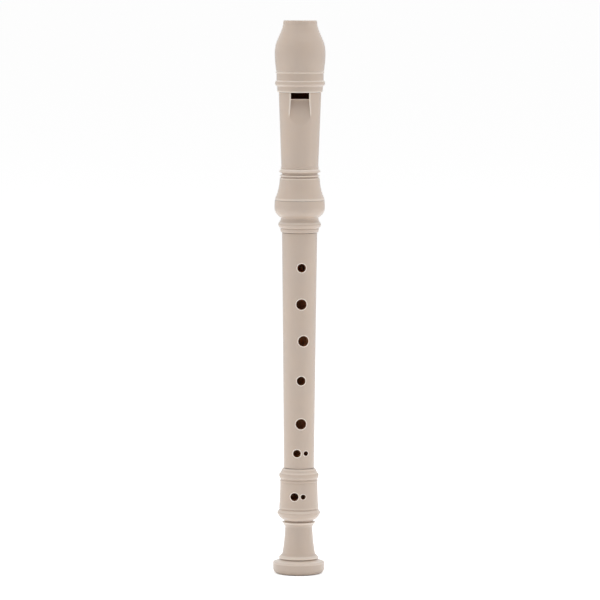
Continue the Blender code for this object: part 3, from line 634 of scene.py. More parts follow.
# Height, radius and extra turn of each single hole, from the player's first finger down to the fifth
SINGLE_HOLES = (
    (119.54, 2.48, 0.0),
    (97.83, 3.02, 0.0),
    (75.98, 3.06, math.radians(7.8)),
    (52.24, 2.52, 0.0),
    (26.4, 3.05, 0.0),
)
THUMB_HOLE = (129.1, 2.6, math.pi)


def grooved(outline, radius, first, count):
    """Fine sealing grooves round a tenon."""
    for number in range(count):
        foot = first + number * GROOVE_PITCH
        outline.to(radius, foot).to(radius - GROOVE_DEPTH, foot)
        outline.to(radius - GROOVE_DEPTH, foot + GROOVE_WIDTH).to(radius, foot + GROOVE_WIDTH)


middle_outside = Outline(LOWER_TENON_RADIUS - TENON_CHAMFER, -LOWER_TENON)
middle_outside.to(LOWER_TENON_RADIUS, TENON_CHAMFER - LOWER_TENON)
grooved(middle_outside, LOWER_TENON_RADIUS, LOWER_GROOVE, 1)
middle_outside.to(LOWER_TENON_RADIUS, TUBE_FOOT).to(TUBE_FOOT_RADIUS, TUBE_FOOT)
middle_outside.arc(TUBE_HEAD_RADIUS, TUBE_TOP, -0.06).to(UPPER_TENON_RADIUS, TUBE_TOP)
grooved(middle_outside, UPPER_TENON_RADIUS, UPPER_GROOVES, 3)
middle_outside.to(UPPER_TENON_RADIUS, TUBE_LENGTH + TENON_LENGTH - TENON_CHAMFER)
middle_outside.to(UPPER_TENON_RADIUS - TENON_CHAMFER, TUBE_LENGTH + TENON_LENGTH)
middle_inside = Outline(MIDDLE_BORE[0], -LOWER_TENON).to(MIDDLE_BORE[1], TUBE_LENGTH + TENON_LENGTH)

middle_mould = Mould()
pair_zone = (PAIR_HEIGHT - PAIR_REACH, PAIR_HEIGHT + PAIR_REACH)
single_zones = {
    hole: (hole[0] - SINGLE_REACH, hole[0] + SINGLE_REACH) for hole in SINGLE_HOLES + (THUMB_HOLE,)}
middle_outer, middle_inner, starts = wall_of(
    middle_mould, middle_outside.rounded(), middle_inside.points, [pair_zone] + list(single_zones.values()),
    seat_of("middle_joint", LOWER_TENON), MIDDLE_TURN, MIDDLE_SPREAD)
for hole, zone in single_zones.items():
    height, radius, extra_turn = hole
    column = round(extra_turn / PITCH)
    drill(middle_outer, middle_inner, starts[zone], (column - SINGLE_COLUMNS, column + SINGLE_COLUMNS),
          MIDDLE_TURN + extra_turn, 0.0, height, radius, HOLE_ROUND)
drill_pair(middle_outer, middle_inner, starts[pair_zone], PAIR_COLUMNS, MIDDLE_TURN,
           PAIR_HEIGHT, PAIR_LARGE, PAIR_SMALL)
close_wall(middle_outer, middle_inner)
middle_mould.piece("middle_tube", "middle_joint", "middle", ivory_plastic("middle_ivory", 7.7))


# Bulb ring
# The bulb and its beads are a separate turned ring in ivory ABS, glued over the head tube's sleeve.
# Its lower lip covers the end of the sleeve and sits on the middle tube's shoulder.
RING_NECK = 11.2
RING_TOP = 19.23
RING_TOP_RADIUS = 14.78
RING_BORE = 10.05
RING_LIP = 1.8
HEAD_SOCKET_RADIUS = 8.65
# Painted highlight on the bulb's bead: from a height, to a height, and how much of the way
BULB_HIGHLIGHTS = ((5.4, 6.5, 0.4),)

bulb = Outline(HEAD_SOCKET_RADIUS, MOUTH_CHAMFER)
bulb.to(HEAD_SOCKET_RADIUS + MOUTH_CHAMFER, 0.1).to(10.7, 0.12).arc(11.22, 0.7, 0.12).to(11.62, 2.3)
bulb.to(11.42, 2.42).to(11.42, 2.75).to(11.9, 3.05).arc(12.78, 4.75, 0.1).to(12.63, 5.5)
bulb.to(12.38, 6.05).to(12.0, 6.5).arc(RING_NECK, 8.3, -0.1)
bulb.to(RING_NECK, 8.9).arc(13.53, 10.85, 0.1).arc(14.98, 15.2, 0.42).arc(RING_TOP_RADIUS, RING_TOP, 0.06)
bulb.to(RING_BORE, RING_TOP).to(RING_BORE, RING_LIP).to(HEAD_SOCKET_RADIUS, RING_LIP)
bulb_mould = Mould()
bulb_mould.spin(bulb.rounded(), seat_of("head_socket_ring"), BULB_HIGHLIGHTS)
bulb_mould.piece("bulb_ring", "head_socket_ring", "head", ivory_plastic("bulb_ivory", 2.6))


# Head tube
# The head tube is one moulding in ivory ABS: a sleeve down inside the bulb, the flare and its rings, and
# the tapered barrel with the window, whose sharp labium stands at the top of a flat ramp.
FLOOR_COLUMNS = 12
SIDE_COLUMNS = 8
BACK_COLUMNS = HALF - FLOOR_COLUMNS - SIDE_COLUMNS
SLEEVE = 16.8
SLEEVE_RADIUS = 9.9
HEAD_BORE = 6.4
SOCKET_DEPTH = 1.1
FLARE_FOOT = 0.45
WAIST_RADIUS = 10.98
BARREL_FOOT = 20.6
BARREL_TOP = 64.45
BARREL_TOP_RADIUS = 12.61
SPIGOT_RADIUS = 10.7755
SPIGOT_TOP = 77.05
SPIGOT_CHAMFER = 0.4
WINDOW_HALF = 5.425
WINDOW_TOP = 64.7
LABIUM_HEIGHT = 60.78
LABIUM_OUTSIDE = 7.0
LABIUM_UNDERSIDE = 6.65
LABIUM_SOFTENING = 0.07
RAMP_LENGTH = 15.2
RAMP_SPREAD = 0.8
RAMP_SLOPE = 0.3234
RAMP_BLEND = 0.3
RAMP_ROWS = 46
WALL_FOOT = 50.0
WINDOW_ROUND = 0.15
BELOW_RAMP_ROUND = 2.0
# How far below the labium the corners beside the ramp begin and end to grow rounder
CORNER_GROWTH = (10.2, 18.2)
ROOF_AT_EXIT = 7.4
ROOF_AT_SPIGOT = 7.25
# Painted highlights on the head's rings: from a height, to a height, and how much of the way
HEAD_HIGHLIGHTS = (
    (0.44, 1.8, 0.4), (13.05, 13.8, 0.45), (14.8, 15.5, 1.0), (17.2, 18.35, 0.3), (18.35, 19.0, 0.7))
CHANNEL_SHOULDER = math.radians(8.0)
UNDERCUT_FOOT = 52.5
UNDERCUT_TOP = 57.0
# Painted highlight along the window's side walls: how far up it grows, and its share on the column behind
# them
WALL_RISE = 2.5
WALL_BEHIND = 0.4
# Depth below the labium of the painted highlight on its edge
LABIUM_HIGHLIGHT = 0.55
# Height over which the bore's painted shade deepens below the window
SHADE_RISE = 6.0


def smooth_share(value, start, end):
    """Share from zero at start to one at end, with soft ends."""
    share = min(1.0, max(0.0, (value - start) / (end - start)))
    return share * share * (3 - 2 * share)


def mirrored(mould, x, y, z, painted_light=0.0):
    """Ring of points from its right half, which runs from the front to the back."""
    z, painted_light = (np.broadcast_to(value, len(x)) for value in (z, painted_light))
    right = list(zip(x, y, z))
    left = [(-side, depth, height) for side, depth, height in right[-2:0:-1]]
    return mould.add(right + left, np.concatenate((painted_light, painted_light[-2:0:-1])))


def barrel_outside(radius, height):
    """Right half of the barrel's section: the ramp's floor, its rounded side wall, and the back."""
    half = WINDOW_HALF + RAMP_SPREAD * min(1.0, max(0.0, (LABIUM_HEIGHT - height) / RAMP_LENGTH))
    side = half * np.arange(FLOOR_COLUMNS + 1) / FLOOR_COLUMNS
    surface = np.sqrt(radius ** 2 - side ** 2)
    ramp = LABIUM_OUTSIDE + RAMP_SLOPE * (LABIUM_HEIGHT - height)
    if height > LABIUM_HEIGHT + LABIUM_SOFTENING:
        ramp = LABIUM_UNDERSIDE
    if height > WINDOW_TOP - TINY:
        ramp = radius + 1.0
    share = np.clip(0.5 + 0.5 * (surface - ramp) / RAMP_BLEND, 0.0, 1.0)
    depth = surface + (ramp - surface) * share - RAMP_BLEND * share * (1 - share)
    edge = surface[-1]
    below = smooth_share(LABIUM_HEIGHT - height, *CORNER_GROWTH)
    round_size = WINDOW_ROUND + (BELOW_RAMP_ROUND - WINDOW_ROUND) * below
    wall = max(0.0, edge - depth[-1])
    taken = min(round_size, wall)
    last = math.asin(half / radius) + round_size / radius
    end = np.array((radius * math.sin(last), radius * math.cos(last)))
    start, corner = np.array((half, edge - taken)), np.array((half, edge))
    path = [(half, depth[-1])] + [bent(start, corner, end, part) for part in np.linspace(0.0, 1.0, 13)]
    path = np.array(path)
    along = lengths(path)
    straight = [(wall - taken) * k / 3 + 0.03 * round_size * k for k in (1, 2, 3)]
    stops = straight + list(np.linspace(straight[-1], along[-1], SIDE_COLUMNS - 2)[1:])
    angles = np.linspace(last, math.pi, BACK_COLUMNS + 1)[1:]
    return (
        np.concatenate((side, np.interp(stops, along, path[:, 0]), radius * np.sin(angles))),
        np.concatenate((depth, np.interp(stops, along, path[:, 1]), radius * np.cos(angles))))


def barrel_inside(radius, share, flat):
    """Right half of the bore's section, from plain round to one with the windway's flat channel in front."""
    corner = math.asin(WINDOW_HALF / HEAD_BORE)
    shoulder = corner + CHANNEL_SHOULDER
    floor = np.arange(FLOOR_COLUMNS + 1) / FLOOR_COLUMNS
    steps = np.arange(1, SIDE_COLUMNS + 1) / SIDE_COLUMNS
    back = np.linspace(0.0, 1.0, BACK_COLUMNS + 1)[1:]
    front = np.arcsin(floor * math.sin(corner))
    round_angles = np.concatenate((
        front, corner + (shoulder - corner) * steps, shoulder + (math.pi - shoulder) * back))
    channel_angles = corner + (math.pi - corner) * back
    channel_side = np.concatenate((
        WINDOW_HALF * floor, np.full(SIDE_COLUMNS, WINDOW_HALF), radius * np.sin(channel_angles)))
    foot = radius * math.cos(corner)
    channel_depth = np.concatenate((
        np.full(FLOOR_COLUMNS + 1, flat), flat + (foot - flat) * steps, radius * np.cos(channel_angles)))
    return (
        radius * np.sin(round_angles) * (1 - share) + channel_side * share,
        radius * np.cos(round_angles) * (1 - share) + channel_depth * share)


barrel = Outline(SLEEVE_RADIUS, -SLEEVE)
barrel.to(SLEEVE_RADIUS, FLARE_FOOT).to(14.77, FLARE_FOOT).to(14.74, 0.9).to(14.66, 1.25)
barrel.to(14.62, 1.6).arc(12.9, 6.3, -0.11).arc(11.93, 12.1, -0.14).to(11.9, 13.35).to(11.62, 13.85)
barrel.to(11.05, 14.0).to(11.05, 14.4).to(11.4, 14.48).to(12.08, 14.78).to(12.08, 14.9).to(11.3, 15.6)
barrel.to(10.65, 15.7).to(10.65, 16.45).to(11.3, 16.65).to(12.42, 17.3).to(12.42, 17.5).to(11.45, 18.8)
barrel.to(11.4, 19.05).to(11.12, 19.12).to(11.12, 19.38).to(11.32, 19.45).to(11.18, 20.4)
barrel.to(WAIST_RADIUS, BARREL_FOOT).to(WAIST_RADIUS + 0.05, BARREL_FOOT + 1.5)
lower_outline = banded(barrel.rounded(), HEAD_HIGHLIGHTS)
taper = (BARREL_TOP_RADIUS - WAIST_RADIUS) / (BARREL_TOP - BARREL_FOOT)
ramp_foot = LABIUM_HEIGHT - RAMP_LENGTH
plain_heights = list(np.linspace(BARREL_FOOT + 3.0, ramp_foot - 2.0, 8))
ramp_heights = list(np.linspace(ramp_foot - 1.5, LABIUM_HEIGHT - 0.12, RAMP_ROWS)) + [LABIUM_HEIGHT]
window_heights = list(np.linspace(LABIUM_HEIGHT + 0.4, BARREL_TOP - 0.25, 7))


def barrel_radius(height):
    """Radius of the tapered barrel."""
    return WAIST_RADIUS + taper * (height - BARREL_FOOT)


shoulder_points = [
    (BARREL_TOP_RADIUS - 0.03, BARREL_TOP - 0.12),
    (BARREL_TOP_RADIUS - 0.14, BARREL_TOP - 0.02),
    (SPIGOT_RADIUS + 0.14, BARREL_TOP + 0.02),
    (SPIGOT_RADIUS, BARREL_TOP + 0.12),
]
head_points = lower_outline + [(barrel_radius(z), z) for z in plain_heights + ramp_heights]
edge_row = len(head_points) - 1
head_points += [(barrel_radius(z), z) for z in window_heights] + shoulder_points
roof_row = len(head_points)
head_points += [
    (SPIGOT_RADIUS, WINDOW_TOP),
    (SPIGOT_RADIUS, SPIGOT_TOP - SPIGOT_CHAMFER),
    (SPIGOT_RADIUS - SPIGOT_CHAMFER, SPIGOT_TOP),
]

head_mould = Mould()
head_seat = seat_of("head_barrel", SLEEVE)
outer_rings = []
for number, (radius, height) in enumerate(head_points):
    side, depth = barrel_outside(radius, height)
    if number == edge_row:
        depth[:FLOOR_COLUMNS + 1] -= LABIUM_SOFTENING
    highlight = np.full(HALF + 1, painted_highlight_at(height, HEAD_HIGHLIGHTS))
    # Painted highlight along the window's side walls
    if WALL_FOOT < height < WINDOW_TOP:
        share = smooth_share(height, WALL_FOOT, WALL_FOOT + WALL_RISE)
        highlight[FLOOR_COLUMNS + 3:FLOOR_COLUMNS + SIDE_COLUMNS + 1] = -share
        highlight[FLOOR_COLUMNS + SIDE_COLUMNS + 1] = -WALL_BEHIND * share
    # Painted highlight under the labium's edge
    if LABIUM_HEIGHT - LABIUM_HIGHLIGHT < height < LABIUM_HEIGHT + TINY:
        highlight[:FLOOR_COLUMNS + 1] = -1.0
    outer_rings.append(mirrored(head_mould, side, -depth, head_seat + height, highlight))
# Radius, height, share of the windway's channel, and depth of the channel's flat
inner_points = [(HEAD_SOCKET_RADIUS, -SLEEVE, 0.0, 0.0), (HEAD_SOCKET_RADIUS, SOCKET_DEPTH, 0.0, 0.0)]
inner_points += [(HEAD_BORE, SOCKET_DEPTH, 0.0, 0.0), (HEAD_BORE, 20.0, 0.0, 0.0)]
for height in np.linspace(UNDERCUT_FOOT, UNDERCUT_TOP, 8):
    inner_points.append((
        HEAD_BORE, height, smooth_share(height, UNDERCUT_FOOT, UNDERCUT_TOP), LABIUM_UNDERSIDE))
inner_points.append((HEAD_BORE, LABIUM_HEIGHT - 0.1, 1.0, LABIUM_UNDERSIDE))
inner_edge_row = len(inner_points)
inner_points.append((HEAD_BORE, LABIUM_HEIGHT, 1.0, LABIUM_UNDERSIDE + LABIUM_SOFTENING))
inner_points += [
    (HEAD_BORE, height, 1.0, LABIUM_UNDERSIDE) for _, height in head_points[edge_row + 1:roof_row]]
inner_roof_row = len(inner_points)
inner_points += [(HEAD_BORE, WINDOW_TOP, 1.0, ROOF_AT_EXIT), (HEAD_BORE, SPIGOT_TOP, 1.0, ROOF_AT_SPIGOT)]
inner_rings = []
for radius, height, share, flat in inner_points:
    side, depth = barrel_inside(radius, share, flat)
    # Painted shade in the bore, deeper towards the window, and none on the channel's flat under the labium
    deep_shade = np.full(HALF + 1, 1.0 + smooth_share(height, UNDERCUT_FOOT - SHADE_RISE, UNDERCUT_FOOT))
    if inner_edge_row <= len(inner_rings) < inner_roof_row:
        deep_shade[:FLOOR_COLUMNS + 2] = 0.0
    inner_rings.append(mirrored(head_mould, side, -depth, head_seat + height, deep_shade))

corner_columns = (FLOOR_COLUMNS, COLUMNS - FLOOR_COLUMNS)
for step in range(1, roof_row - edge_row):
    for column in corner_columns:
        outer_rings[edge_row + step][column] = inner_rings[inner_edge_row + step][column]
for rings, first, last in ((outer_rings, edge_row, roof_row), (inner_rings, inner_edge_row, inner_roof_row)):
    for row in range(len(rings) - 1):
        for column in range(COLUMNS):
            beside_window = FLOOR_COLUMNS <= column < COLUMNS - FLOOR_COLUMNS
            if beside_window or not first <= row < last:
                head_mould.quad(rings[row], rings[row + 1], column)
front = [k % COLUMNS for k in range(-FLOOR_COLUMNS, FLOOR_COLUMNS + 1)]
for row, inner_row in ((edge_row, inner_edge_row), (roof_row, inner_roof_row)):
    head_mould.strip(
        [outer_rings[row][k] for k in front], [inner_rings[inner_row][k] for k in front], closed=False)
for column in corner_columns:
    for row, inner_row, beside in ((edge_row, inner_edge_row, 1), (roof_row, inner_roof_row, -1)):
        head_mould.face([
            outer_rings[row][column], inner_rings[inner_row][column], outer_rings[row + beside][column]])
head_mould.strip(outer_rings[0], inner_rings[0])
head_mould.strip(outer_rings[-1], inner_rings[-1])
head_mould.piece("head_tube", "head_barrel", "head", ivory_plastic("head_ivory", 5.2))


# Mouthpiece
# The beak is a cap in ivory ABS, turned outside, glued over the head tube's spigot. The narrow slot of the
# windway runs through it to the tip, and its underside is hollowed for the lower lip.
TIP_HEIGHT = 42.7
TIP_RADIUS = 9.75
BEAK_SIDE_RADIUS = 10.1
# Painted highlights on the beak's rings: from a height, to a height, and how much of the way
BEAK_HIGHLIGHTS = (
    (0.1, 0.85, 0.9), (0.85, 1.4, 0.2), (4.1, 4.9, 0.15), (6.6, 7.35, 0.65), (11.5, 12.6, 0.4))
BEAK_HOLLOW_RADIUS = 30.0
BEAK_BACK = 1.5227
FAN_FOOT = 13.5
FAN_ROWS = 44
FAN_EASE = 1.6
SLOT_COLUMNS = 16
SLOT_SIDE_COLUMNS = 22
CORNER_COLUMN = 30
CREASE_ROUND = 0.5
RIM_ROUND = 0.2
ROOF_AT_ENTRY = 6.9
CAP_SOCKET_RADIUS = 10.9
CAP_EDGE = 0.28
CAP_SOCKET_DEPTH = 13.0
SLOT_EDGE = 0.15
# Painted shade in the windway's slot
SLOT_SHADE = 0.5
LIP_SHARES = (0.12, 0.35, 0.62, 0.85)
# Share by which the beak's colour is darkened, a painted shade
BEAK_PAINTED_SHADE = 0.02

beak = Outline(CAP_SOCKET_RADIUS, CAP_EDGE)
beak.to(13.4, CAP_EDGE).to(13.5, 1.5).to(13.62, 3.6).to(13.85, 3.85).to(14.6, 4.5).arc(14.58, 6.75, 0.3)
beak.to(13.98, 7.25).to(13.98, 11.4).to(14.52, 11.62).to(14.18, 12.55).to(14.0, 12.62).to(14.3, 13.15)
beak.to(14.5, 15.4).arc(15.05, 22.5, 0.12).arc(13.9755, 30.3, 0.36)
beak.to(12.3, 34.1).arc(BEAK_SIDE_RADIUS, 40.3, -0.2).to(BEAK_SIDE_RADIUS, 41.3)
beak.arc(TIP_RADIUS, TIP_HEIGHT, 0.1)
beak_outline = banded(beak.rounded(), BEAK_HIGHLIGHTS)


def beak_radius(height):
    """Radius of the turned beak."""
    return float(radius_on(beak_outline[1:], height))


def hollow_back(height):
    """How far behind the axis the hollow's surface lies."""
    return BEAK_BACK + BEAK_HOLLOW_RADIUS - math.sqrt(BEAK_HOLLOW_RADIUS ** 2 - (TIP_HEIGHT - height) ** 2)


def hollow_height(back):
    """Height at which the hollow's surface lies this far behind the axis."""
    return TIP_HEIGHT - math.sqrt(BEAK_HOLLOW_RADIUS ** 2 - (BEAK_BACK + BEAK_HOLLOW_RADIUS - back) ** 2)


def even(points, count):
    """The same line with its points evenly spaced."""
    points = np.array(points)
    along = lengths(points)
    stops = np.linspace(0.0, along[-1], count + 1)
    return np.stack([np.interp(stops, along, points[:, axis]) for axis in range(3)], axis=1)


# Lowest height at which the hollow cuts the turned beak, found by halving
low, high = TIP_HEIGHT - BEAK_HOLLOW_RADIUS + 2.0, TIP_HEIGHT
for _ in range(40):
    guess = (low + high) / 2
    low, high = (low, guess) if hollow_back(guess) < beak_radius(guess) else (guess, high)
hollow_foot = high

crease = []
for share in np.linspace(0.0, 1.0, 400):
    height = TIP_HEIGHT - (TIP_HEIGHT - hollow_foot) * share ** 2 * (3 - 2 * share)
    back = hollow_back(height)
    crease.append((math.sqrt(max(0.0, beak_radius(height) ** 2 - back ** 2)), back, height))
crease[-1] = (0.0, hollow_back(hollow_foot), hollow_foot)
corner_angle = math.atan2(crease[0][0], -crease[0][1])
tip_rim = [around(TIP_RADIUS, angle, TIP_HEIGHT) for angle in np.linspace(0.0, corner_angle, 60)]
outer_edge = np.concatenate((even(tip_rim, CORNER_COLUMN), even(crease, HALF - CORNER_COLUMN)[1:]))


def plug_loop(radius, half, roof, top):
    """Right half of the loop round the bore and the windway, from the front to the back of the beak."""
    corner = math.sqrt(radius ** 2 - half ** 2)
    start = math.atan2(half, corner)
    flat = [(half * k / SLOT_COLUMNS, -roof, top) for k in range(SLOT_COLUMNS + 1)]
    down = SLOT_SIDE_COLUMNS - SLOT_COLUMNS
    side = [(half, -roof + (roof - corner) * k / down, top) for k in range(1, down + 1)]
    end = math.atan2(math.sqrt(radius ** 2 - BEAK_BACK ** 2), -BEAK_BACK)
    turn = CORNER_COLUMN - SLOT_SIDE_COLUMNS
    front = [around(radius, start + (end - start) * k / turn, top) for k in range(1, turn + 1)]
    rest = HALF - CORNER_COLUMN
    back = []
    for k in range(1, rest + 1):
        x, y, _ = around(radius, end + (math.pi - end) * k / rest, 0.0)
        back.append((x, y, hollow_height(y)))
    return np.array(flat + side + front + back)


bore_edge = plug_loop(HEAD_BORE, WINDOW_HALF, ROOF_AT_ENTRY, TIP_HEIGHT)


def outward_of_beak(point):
    """Outward direction of the turned beak at a point."""
    x, y, z = point
    slope = (beak_radius(z + 0.05) - beak_radius(z - 0.05)) / 0.1
    radius = math.hypot(x, y)
    return Vector((x / radius, y / radius, -slope)).normalized()


def outward_of_cut(point):
    """Outward direction of the hollow's surface at a point."""
    drop = TIP_HEIGHT - point[2]
    return Vector((0.0, 1.0, drop / math.sqrt(BEAK_HOLLOW_RADIUS ** 2 - drop ** 2))).normalized()


beak_side, cut_side = [], []
for k, point in enumerate(outer_edge):
    before, after = outer_edge[max(k - 1, 0)], outer_edge[min(k + 1, HALF)]
    tangent = Vector(after - before).normalized()
    if k in (0, HALF):
        tangent = Vector((1.0 if k == 0 else -1.0, 0.0, 0.0))
    turned_normal = outward_of_beak(point)
    cut_normal = Vector((0.0, 0.0, 1.0)) if k < CORNER_COLUMN else outward_of_cut(point)
    if k == CORNER_COLUMN:
        cut_normal = (cut_normal + Vector((0.0, 0.0, 1.0))).normalized()
    size = RIM_ROUND + (CREASE_ROUND - RIM_ROUND) * smooth_share(k, CORNER_COLUMN - 3, CORNER_COLUMN + 3)
    for line, normal, other in (
            (beak_side, turned_normal, cut_normal), (cut_side, cut_normal, turned_normal)):
        away = tangent.cross(normal)
        away *= -math.copysign(1.0, away.dot(other))
        line.append(np.array(point) + size * np.array(away))
for k in range(HALF + 1):
    if k > CORNER_COLUMN:
        cut_side[k][1] = hollow_back(cut_side[k][2])
    else:
        cut_side[k][2] = TIP_HEIGHT

fan_foot_angles = np.concatenate((
    np.linspace(0.0, math.pi / 2, CORNER_COLUMN + 1),
    np.linspace(math.pi / 2, math.pi, HALF - CORNER_COLUMN + 1)[1:]))
fan_top_angles = np.array([math.atan2(x, -y) for x, y, _ in beak_side])
fan_top_heights = np.array([z for _, _, z in beak_side])

beak_mould = Mould()
cap_seat = seat_of("mouthpiece")
rings = []


def add_ring(x, y, z, painted_light=0.0):
    """Add one ring of the mouthpiece from its right half."""
    rings.append(mirrored(beak_mould, x, y, cap_seat + z, painted_light))


def add_turned(radius, angles, height, painted_light=0.0):
    """Add one turned ring of the mouthpiece, with its points at these angles."""
    add_ring(radius * np.sin(angles), -radius * np.cos(angles), height, painted_light)


for radius, height in beak_outline:
    if height < FAN_FOOT:
        add_turned(radius, fan_foot_angles, height, painted_highlight_at(height, BEAK_HIGHLIGHTS))
for share in np.linspace(0.0, 1.0, FAN_ROWS + 1):
    climb = 1 - (1 - share) ** FAN_EASE
    angles = fan_foot_angles + (fan_top_angles - fan_foot_angles) * climb
    heights = FAN_FOOT + (fan_top_heights - FAN_FOOT) * climb
    add_turned(np.array([beak_radius(height) for height in heights]), angles, heights)
start, end = np.array(beak_side), np.array(cut_side)
for share in (0.25, 0.5, 0.75, 1.0):
    add_ring(*bent(start, outer_edge, end, share).T)
for share in LIP_SHARES + (1.0,):
    lip = end + (bore_edge - end) * share
    for k in range(CORNER_COLUMN + 1, HALF + 1):
        lip[k][1] = hollow_back(lip[k][2]) if share < 1.0 else lip[k][1]
    add_ring(*lip.T)
for height in (TIP_HEIGHT - SLOT_EDGE, CAP_SOCKET_DEPTH):
    roof = ROOF_AT_ENTRY + (ROOF_AT_EXIT - ROOF_AT_ENTRY) * (TIP_HEIGHT - height) / TIP_HEIGHT
    depth = np.minimum(-bore_edge[:, 1], roof)
    depth[:SLOT_COLUMNS + 1] = roof
    # The windway's slot is given painted shade
    add_ring(bore_edge[:, 0], -depth, np.minimum(bore_edge[:, 2] - SLOT_EDGE, height), SLOT_SHADE)
add_turned(CAP_SOCKET_RADIUS, fan_foot_angles, CAP_SOCKET_DEPTH)
beak_mould.stack(rings + rings[:1])
beak_mould.piece("beak", "mouthpiece", "head", ivory_plastic("beak_ivory", 3.4, painted_shade=BEAK_PAINTED_SHADE))


# Windway block
# The block is a plug of ivory ABS pushed up inside the head. The flat on its pad is the windway's floor,
# and it is hollowed with the beak, so that its end shows at the tip and behind.
BLOCK_CLEARANCE = 0.06
BLOCK_RADIUS = HEAD_BORE - BLOCK_CLEARANCE
BLOCK_HALF = WINDOW_HALF - BLOCK_CLEARANCE
BLOCK_FLOOR_AT_EXIT = 6.4
BLOCK_FLOOR_AT_ENTRY = 5.3
BLOCK_CHAMFER = 0.5
BLOCK_EDGE = 0.12

block_mould = Mould()
block_seat = seat_of("windway_block")
foot_loop = plug_loop(BLOCK_RADIUS, BLOCK_HALF, BLOCK_FLOOR_AT_EXIT - BLOCK_CHAMFER, 0.0)
pad_loop = plug_loop(BLOCK_RADIUS, BLOCK_HALF, BLOCK_FLOOR_AT_EXIT, BLOCK_CHAMFER)
foot_loop[:, 2] = 0.0
pad_loop[:, 2] = BLOCK_CHAMFER
top_loop = plug_loop(BLOCK_RADIUS, BLOCK_HALF, BLOCK_FLOOR_AT_ENTRY, TIP_HEIGHT)
side_loop = top_loop.copy()
side_loop[:, 2] -= BLOCK_EDGE
cap_loop = top_loop.copy()
cap_loop[:, :2] *= 1 - BLOCK_EDGE / BLOCK_RADIUS
for k in range(CORNER_COLUMN, HALF + 1):
    cap_loop[k][2] = hollow_height(max(cap_loop[k][1], BEAK_BACK))
loops = [
    mirrored(block_mould, loop[:, 0], loop[:, 1], block_seat + loop[:, 2])
    for loop in (foot_loop, pad_loop, side_loop, cap_loop)]
block_mould.stack(loops)
for ring, loop in ((loops[0], foot_loop), (loops[-1], cap_loop)):
    row = [ring[k % COLUMNS] for k in range(-SLOT_COLUMNS, SLOT_COLUMNS + 1)]
    for k in range(SLOT_COLUMNS + 1, HALF):
        x, y, z = loop[k]
        between = [(x * n / SLOT_COLUMNS, y, block_seat + z) for n in range(1 - SLOT_COLUMNS, SLOT_COLUMNS)]
        following = [ring[-k]] + block_mould.add(between) + [ring[k]]
        block_mould.strip(row, following, closed=False)
        row = following
    block_mould.strip(row, [ring[HALF]] * len(row), closed=False)
block_mould.piece("block_plug", "windway_block", "head", ivory_plastic("block_ivory", 6.5))


# Studio
# A pale floor without an edge, two soft boxes at the sides and a large one above, and a camera far off
# and a little above. The floor glows less close to the foot, where it keeps the recorder's shadow.
CAMERA_DISTANCE = 2.76
CAMERA_ELEVATION = math.radians(4.6)
CAMERA_ROLL = math.radians(0.17)
CAMERA_LENS = 278.25
AIM_SIDE = 0.00036
AIM_HEIGHT = 0.16385
FLOOR_RADIUS = 30.0
NEAR_GLOW_END = 0.3
FAR_GLOW_START = 3.0
BOUNCE_START = 0.0125
BOUNCE_END = 0.029
NEAR_GLOW = 0.62
FAR_GLOW = 0.74
UNDER_GLOW = 0.34
AIR_LIGHT = 0.27
AIR_SHEEN = 0.8
SIDE_POWER = 3.0
TOP_POWER = 20.0

bpy.ops.mesh.primitive_circle_add(vertices=96, radius=FLOOR_RADIUS, fill_type='NGON')
floor = bpy.context.object
floor.name = "studio_floor"
floor_paint = bpy.data.materials.new("studio_floor_paint")
floor_paint.use_nodes = True
nodes = floor_paint.node_tree.nodes
link = floor_paint.node_tree.links.new
paint = nodes["Principled BSDF"]
paint.inputs["Base Color"].default_value = (0.9, 0.9, 0.9, 1.0)
paint.inputs["Roughness"].default_value = 0.9
paint.inputs["Specular IOR Level"].default_value = 0.0
glow = new_node(nodes, "Emission", Color=(1.0, 1.0, 1.0, 1.0))
place = new_node(nodes, "TexCoord")
distance = new_node(nodes, "VectorMath")
distance.operation = 'LENGTH'
link(place.outputs["Object"], distance.inputs[0])
paleness = new_node(nodes, "MapRange", From_Min=NEAR_GLOW_END, From_Max=FAR_GLOW_START,
                    To_Min=NEAR_GLOW, To_Max=FAR_GLOW)
bounce = new_node(nodes, "MapRange", From_Min=BOUNCE_START, From_Max=BOUNCE_END, To_Max=UNDER_GLOW)
for node in (paleness, bounce):
    node.interpolation_type = 'SMOOTHSTEP'
    link(distance.outputs["Value"], node.inputs["Value"])
# The camera sees the floor pale, and the recorder's undersides are lit by the weaker bounce
rays = new_node(nodes, "LightPath")
strength = new_node(nodes, "MapRange")
link(rays.outputs["Is Camera Ray"], strength.inputs["Value"])
link(bounce.outputs["Result"], strength.inputs["To Min"])
link(paleness.outputs["Result"], strength.inputs["To Max"])
link(strength.outputs["Result"], glow.inputs["Strength"])
both = new_node(nodes, "AddShader")
link(paint.outputs["BSDF"], both.inputs[0])
link(glow.outputs["Emission"], both.inputs[1])
link(both.outputs["Shader"], nodes["Material Output"].inputs["Surface"])
floor.data.materials.append(floor_paint)

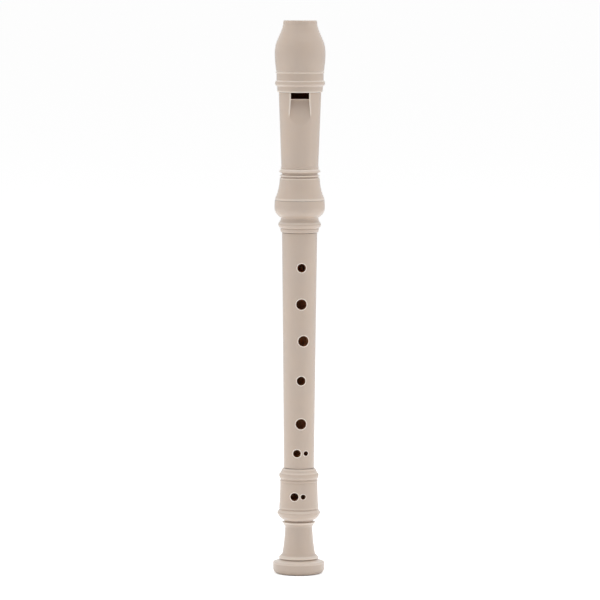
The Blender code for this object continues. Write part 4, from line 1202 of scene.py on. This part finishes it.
# The air is white to the camera, nearly as bright in the sheen, and dim as a light
world = bpy.data.worlds.new("studio_air")
bpy.context.scene.world = world
world.use_nodes = True
air = world.node_tree.nodes
link = world.node_tree.links.new
pale = air["Background"]
pale.inputs["Color"].default_value = (1.0, 1.0, 1.0, 1.0)
sight = new_node(air, "LightPath")
level = new_node(air, "MapRange", To_Min=AIR_LIGHT, To_Max=1.0)
sheen = new_node(air, "MapRange", To_Max=AIR_SHEEN)
stronger = new_node(air, "Math")
stronger.operation = 'MAXIMUM'
link(sight.outputs["Is Camera Ray"], level.inputs["Value"])
link(sight.outputs["Is Glossy Ray"], sheen.inputs["Value"])
link(level.outputs["Result"], stronger.inputs[0])
link(sheen.outputs["Result"], stronger.inputs[1])
link(stronger.outputs["Value"], pale.inputs["Strength"])


def soft_box(name, place, size, power):
    """Square soft box aimed at the recorder."""
    lamp = bpy.data.lights.new(name, 'AREA')
    lamp.shape = 'RECTANGLE'
    lamp.size = size
    lamp.size_y = size
    lamp.energy = power
    stand = bpy.data.objects.new(name, lamp)
    bpy.context.scene.collection.objects.link(stand)
    stand.location = place
    stand.visible_glossy = False
    aim = Vector((0.0, 0.0, AIM_HEIGHT)) - stand.location
    stand.rotation_euler = aim.to_track_quat('-Z', 'Y').to_euler()


soft_box("left_box", (-1.1, 0.0, 0.35), 0.7, SIDE_POWER)
soft_box("right_box", (1.1, 0.0, 0.35), 0.7, SIDE_POWER)
soft_box("top_box", (0.0, -0.25, 1.85), 1.6, TOP_POWER)

camera_data = bpy.data.cameras.new("camera")
camera_data.lens = CAMERA_LENS
camera_data.sensor_width = 36.0
camera_data.clip_end = 100.0
camera = bpy.data.objects.new("camera", camera_data)
bpy.context.scene.collection.objects.link(camera)
camera.location = (
    AIM_SIDE, -CAMERA_DISTANCE * math.cos(CAMERA_ELEVATION),
    AIM_HEIGHT + CAMERA_DISTANCE * math.sin(CAMERA_ELEVATION))
look = Vector((AIM_SIDE, 0.0, AIM_HEIGHT)) - camera.location
camera.rotation_mode = 'QUATERNION'
camera.rotation_quaternion = look.to_track_quat('-Z', 'Y') @ Quaternion((0.0, 0.0, 1.0), CAMERA_ROLL)
bpy.context.scene.camera = camera
bpy.context.scene.view_settings.view_transform = 'Standard'
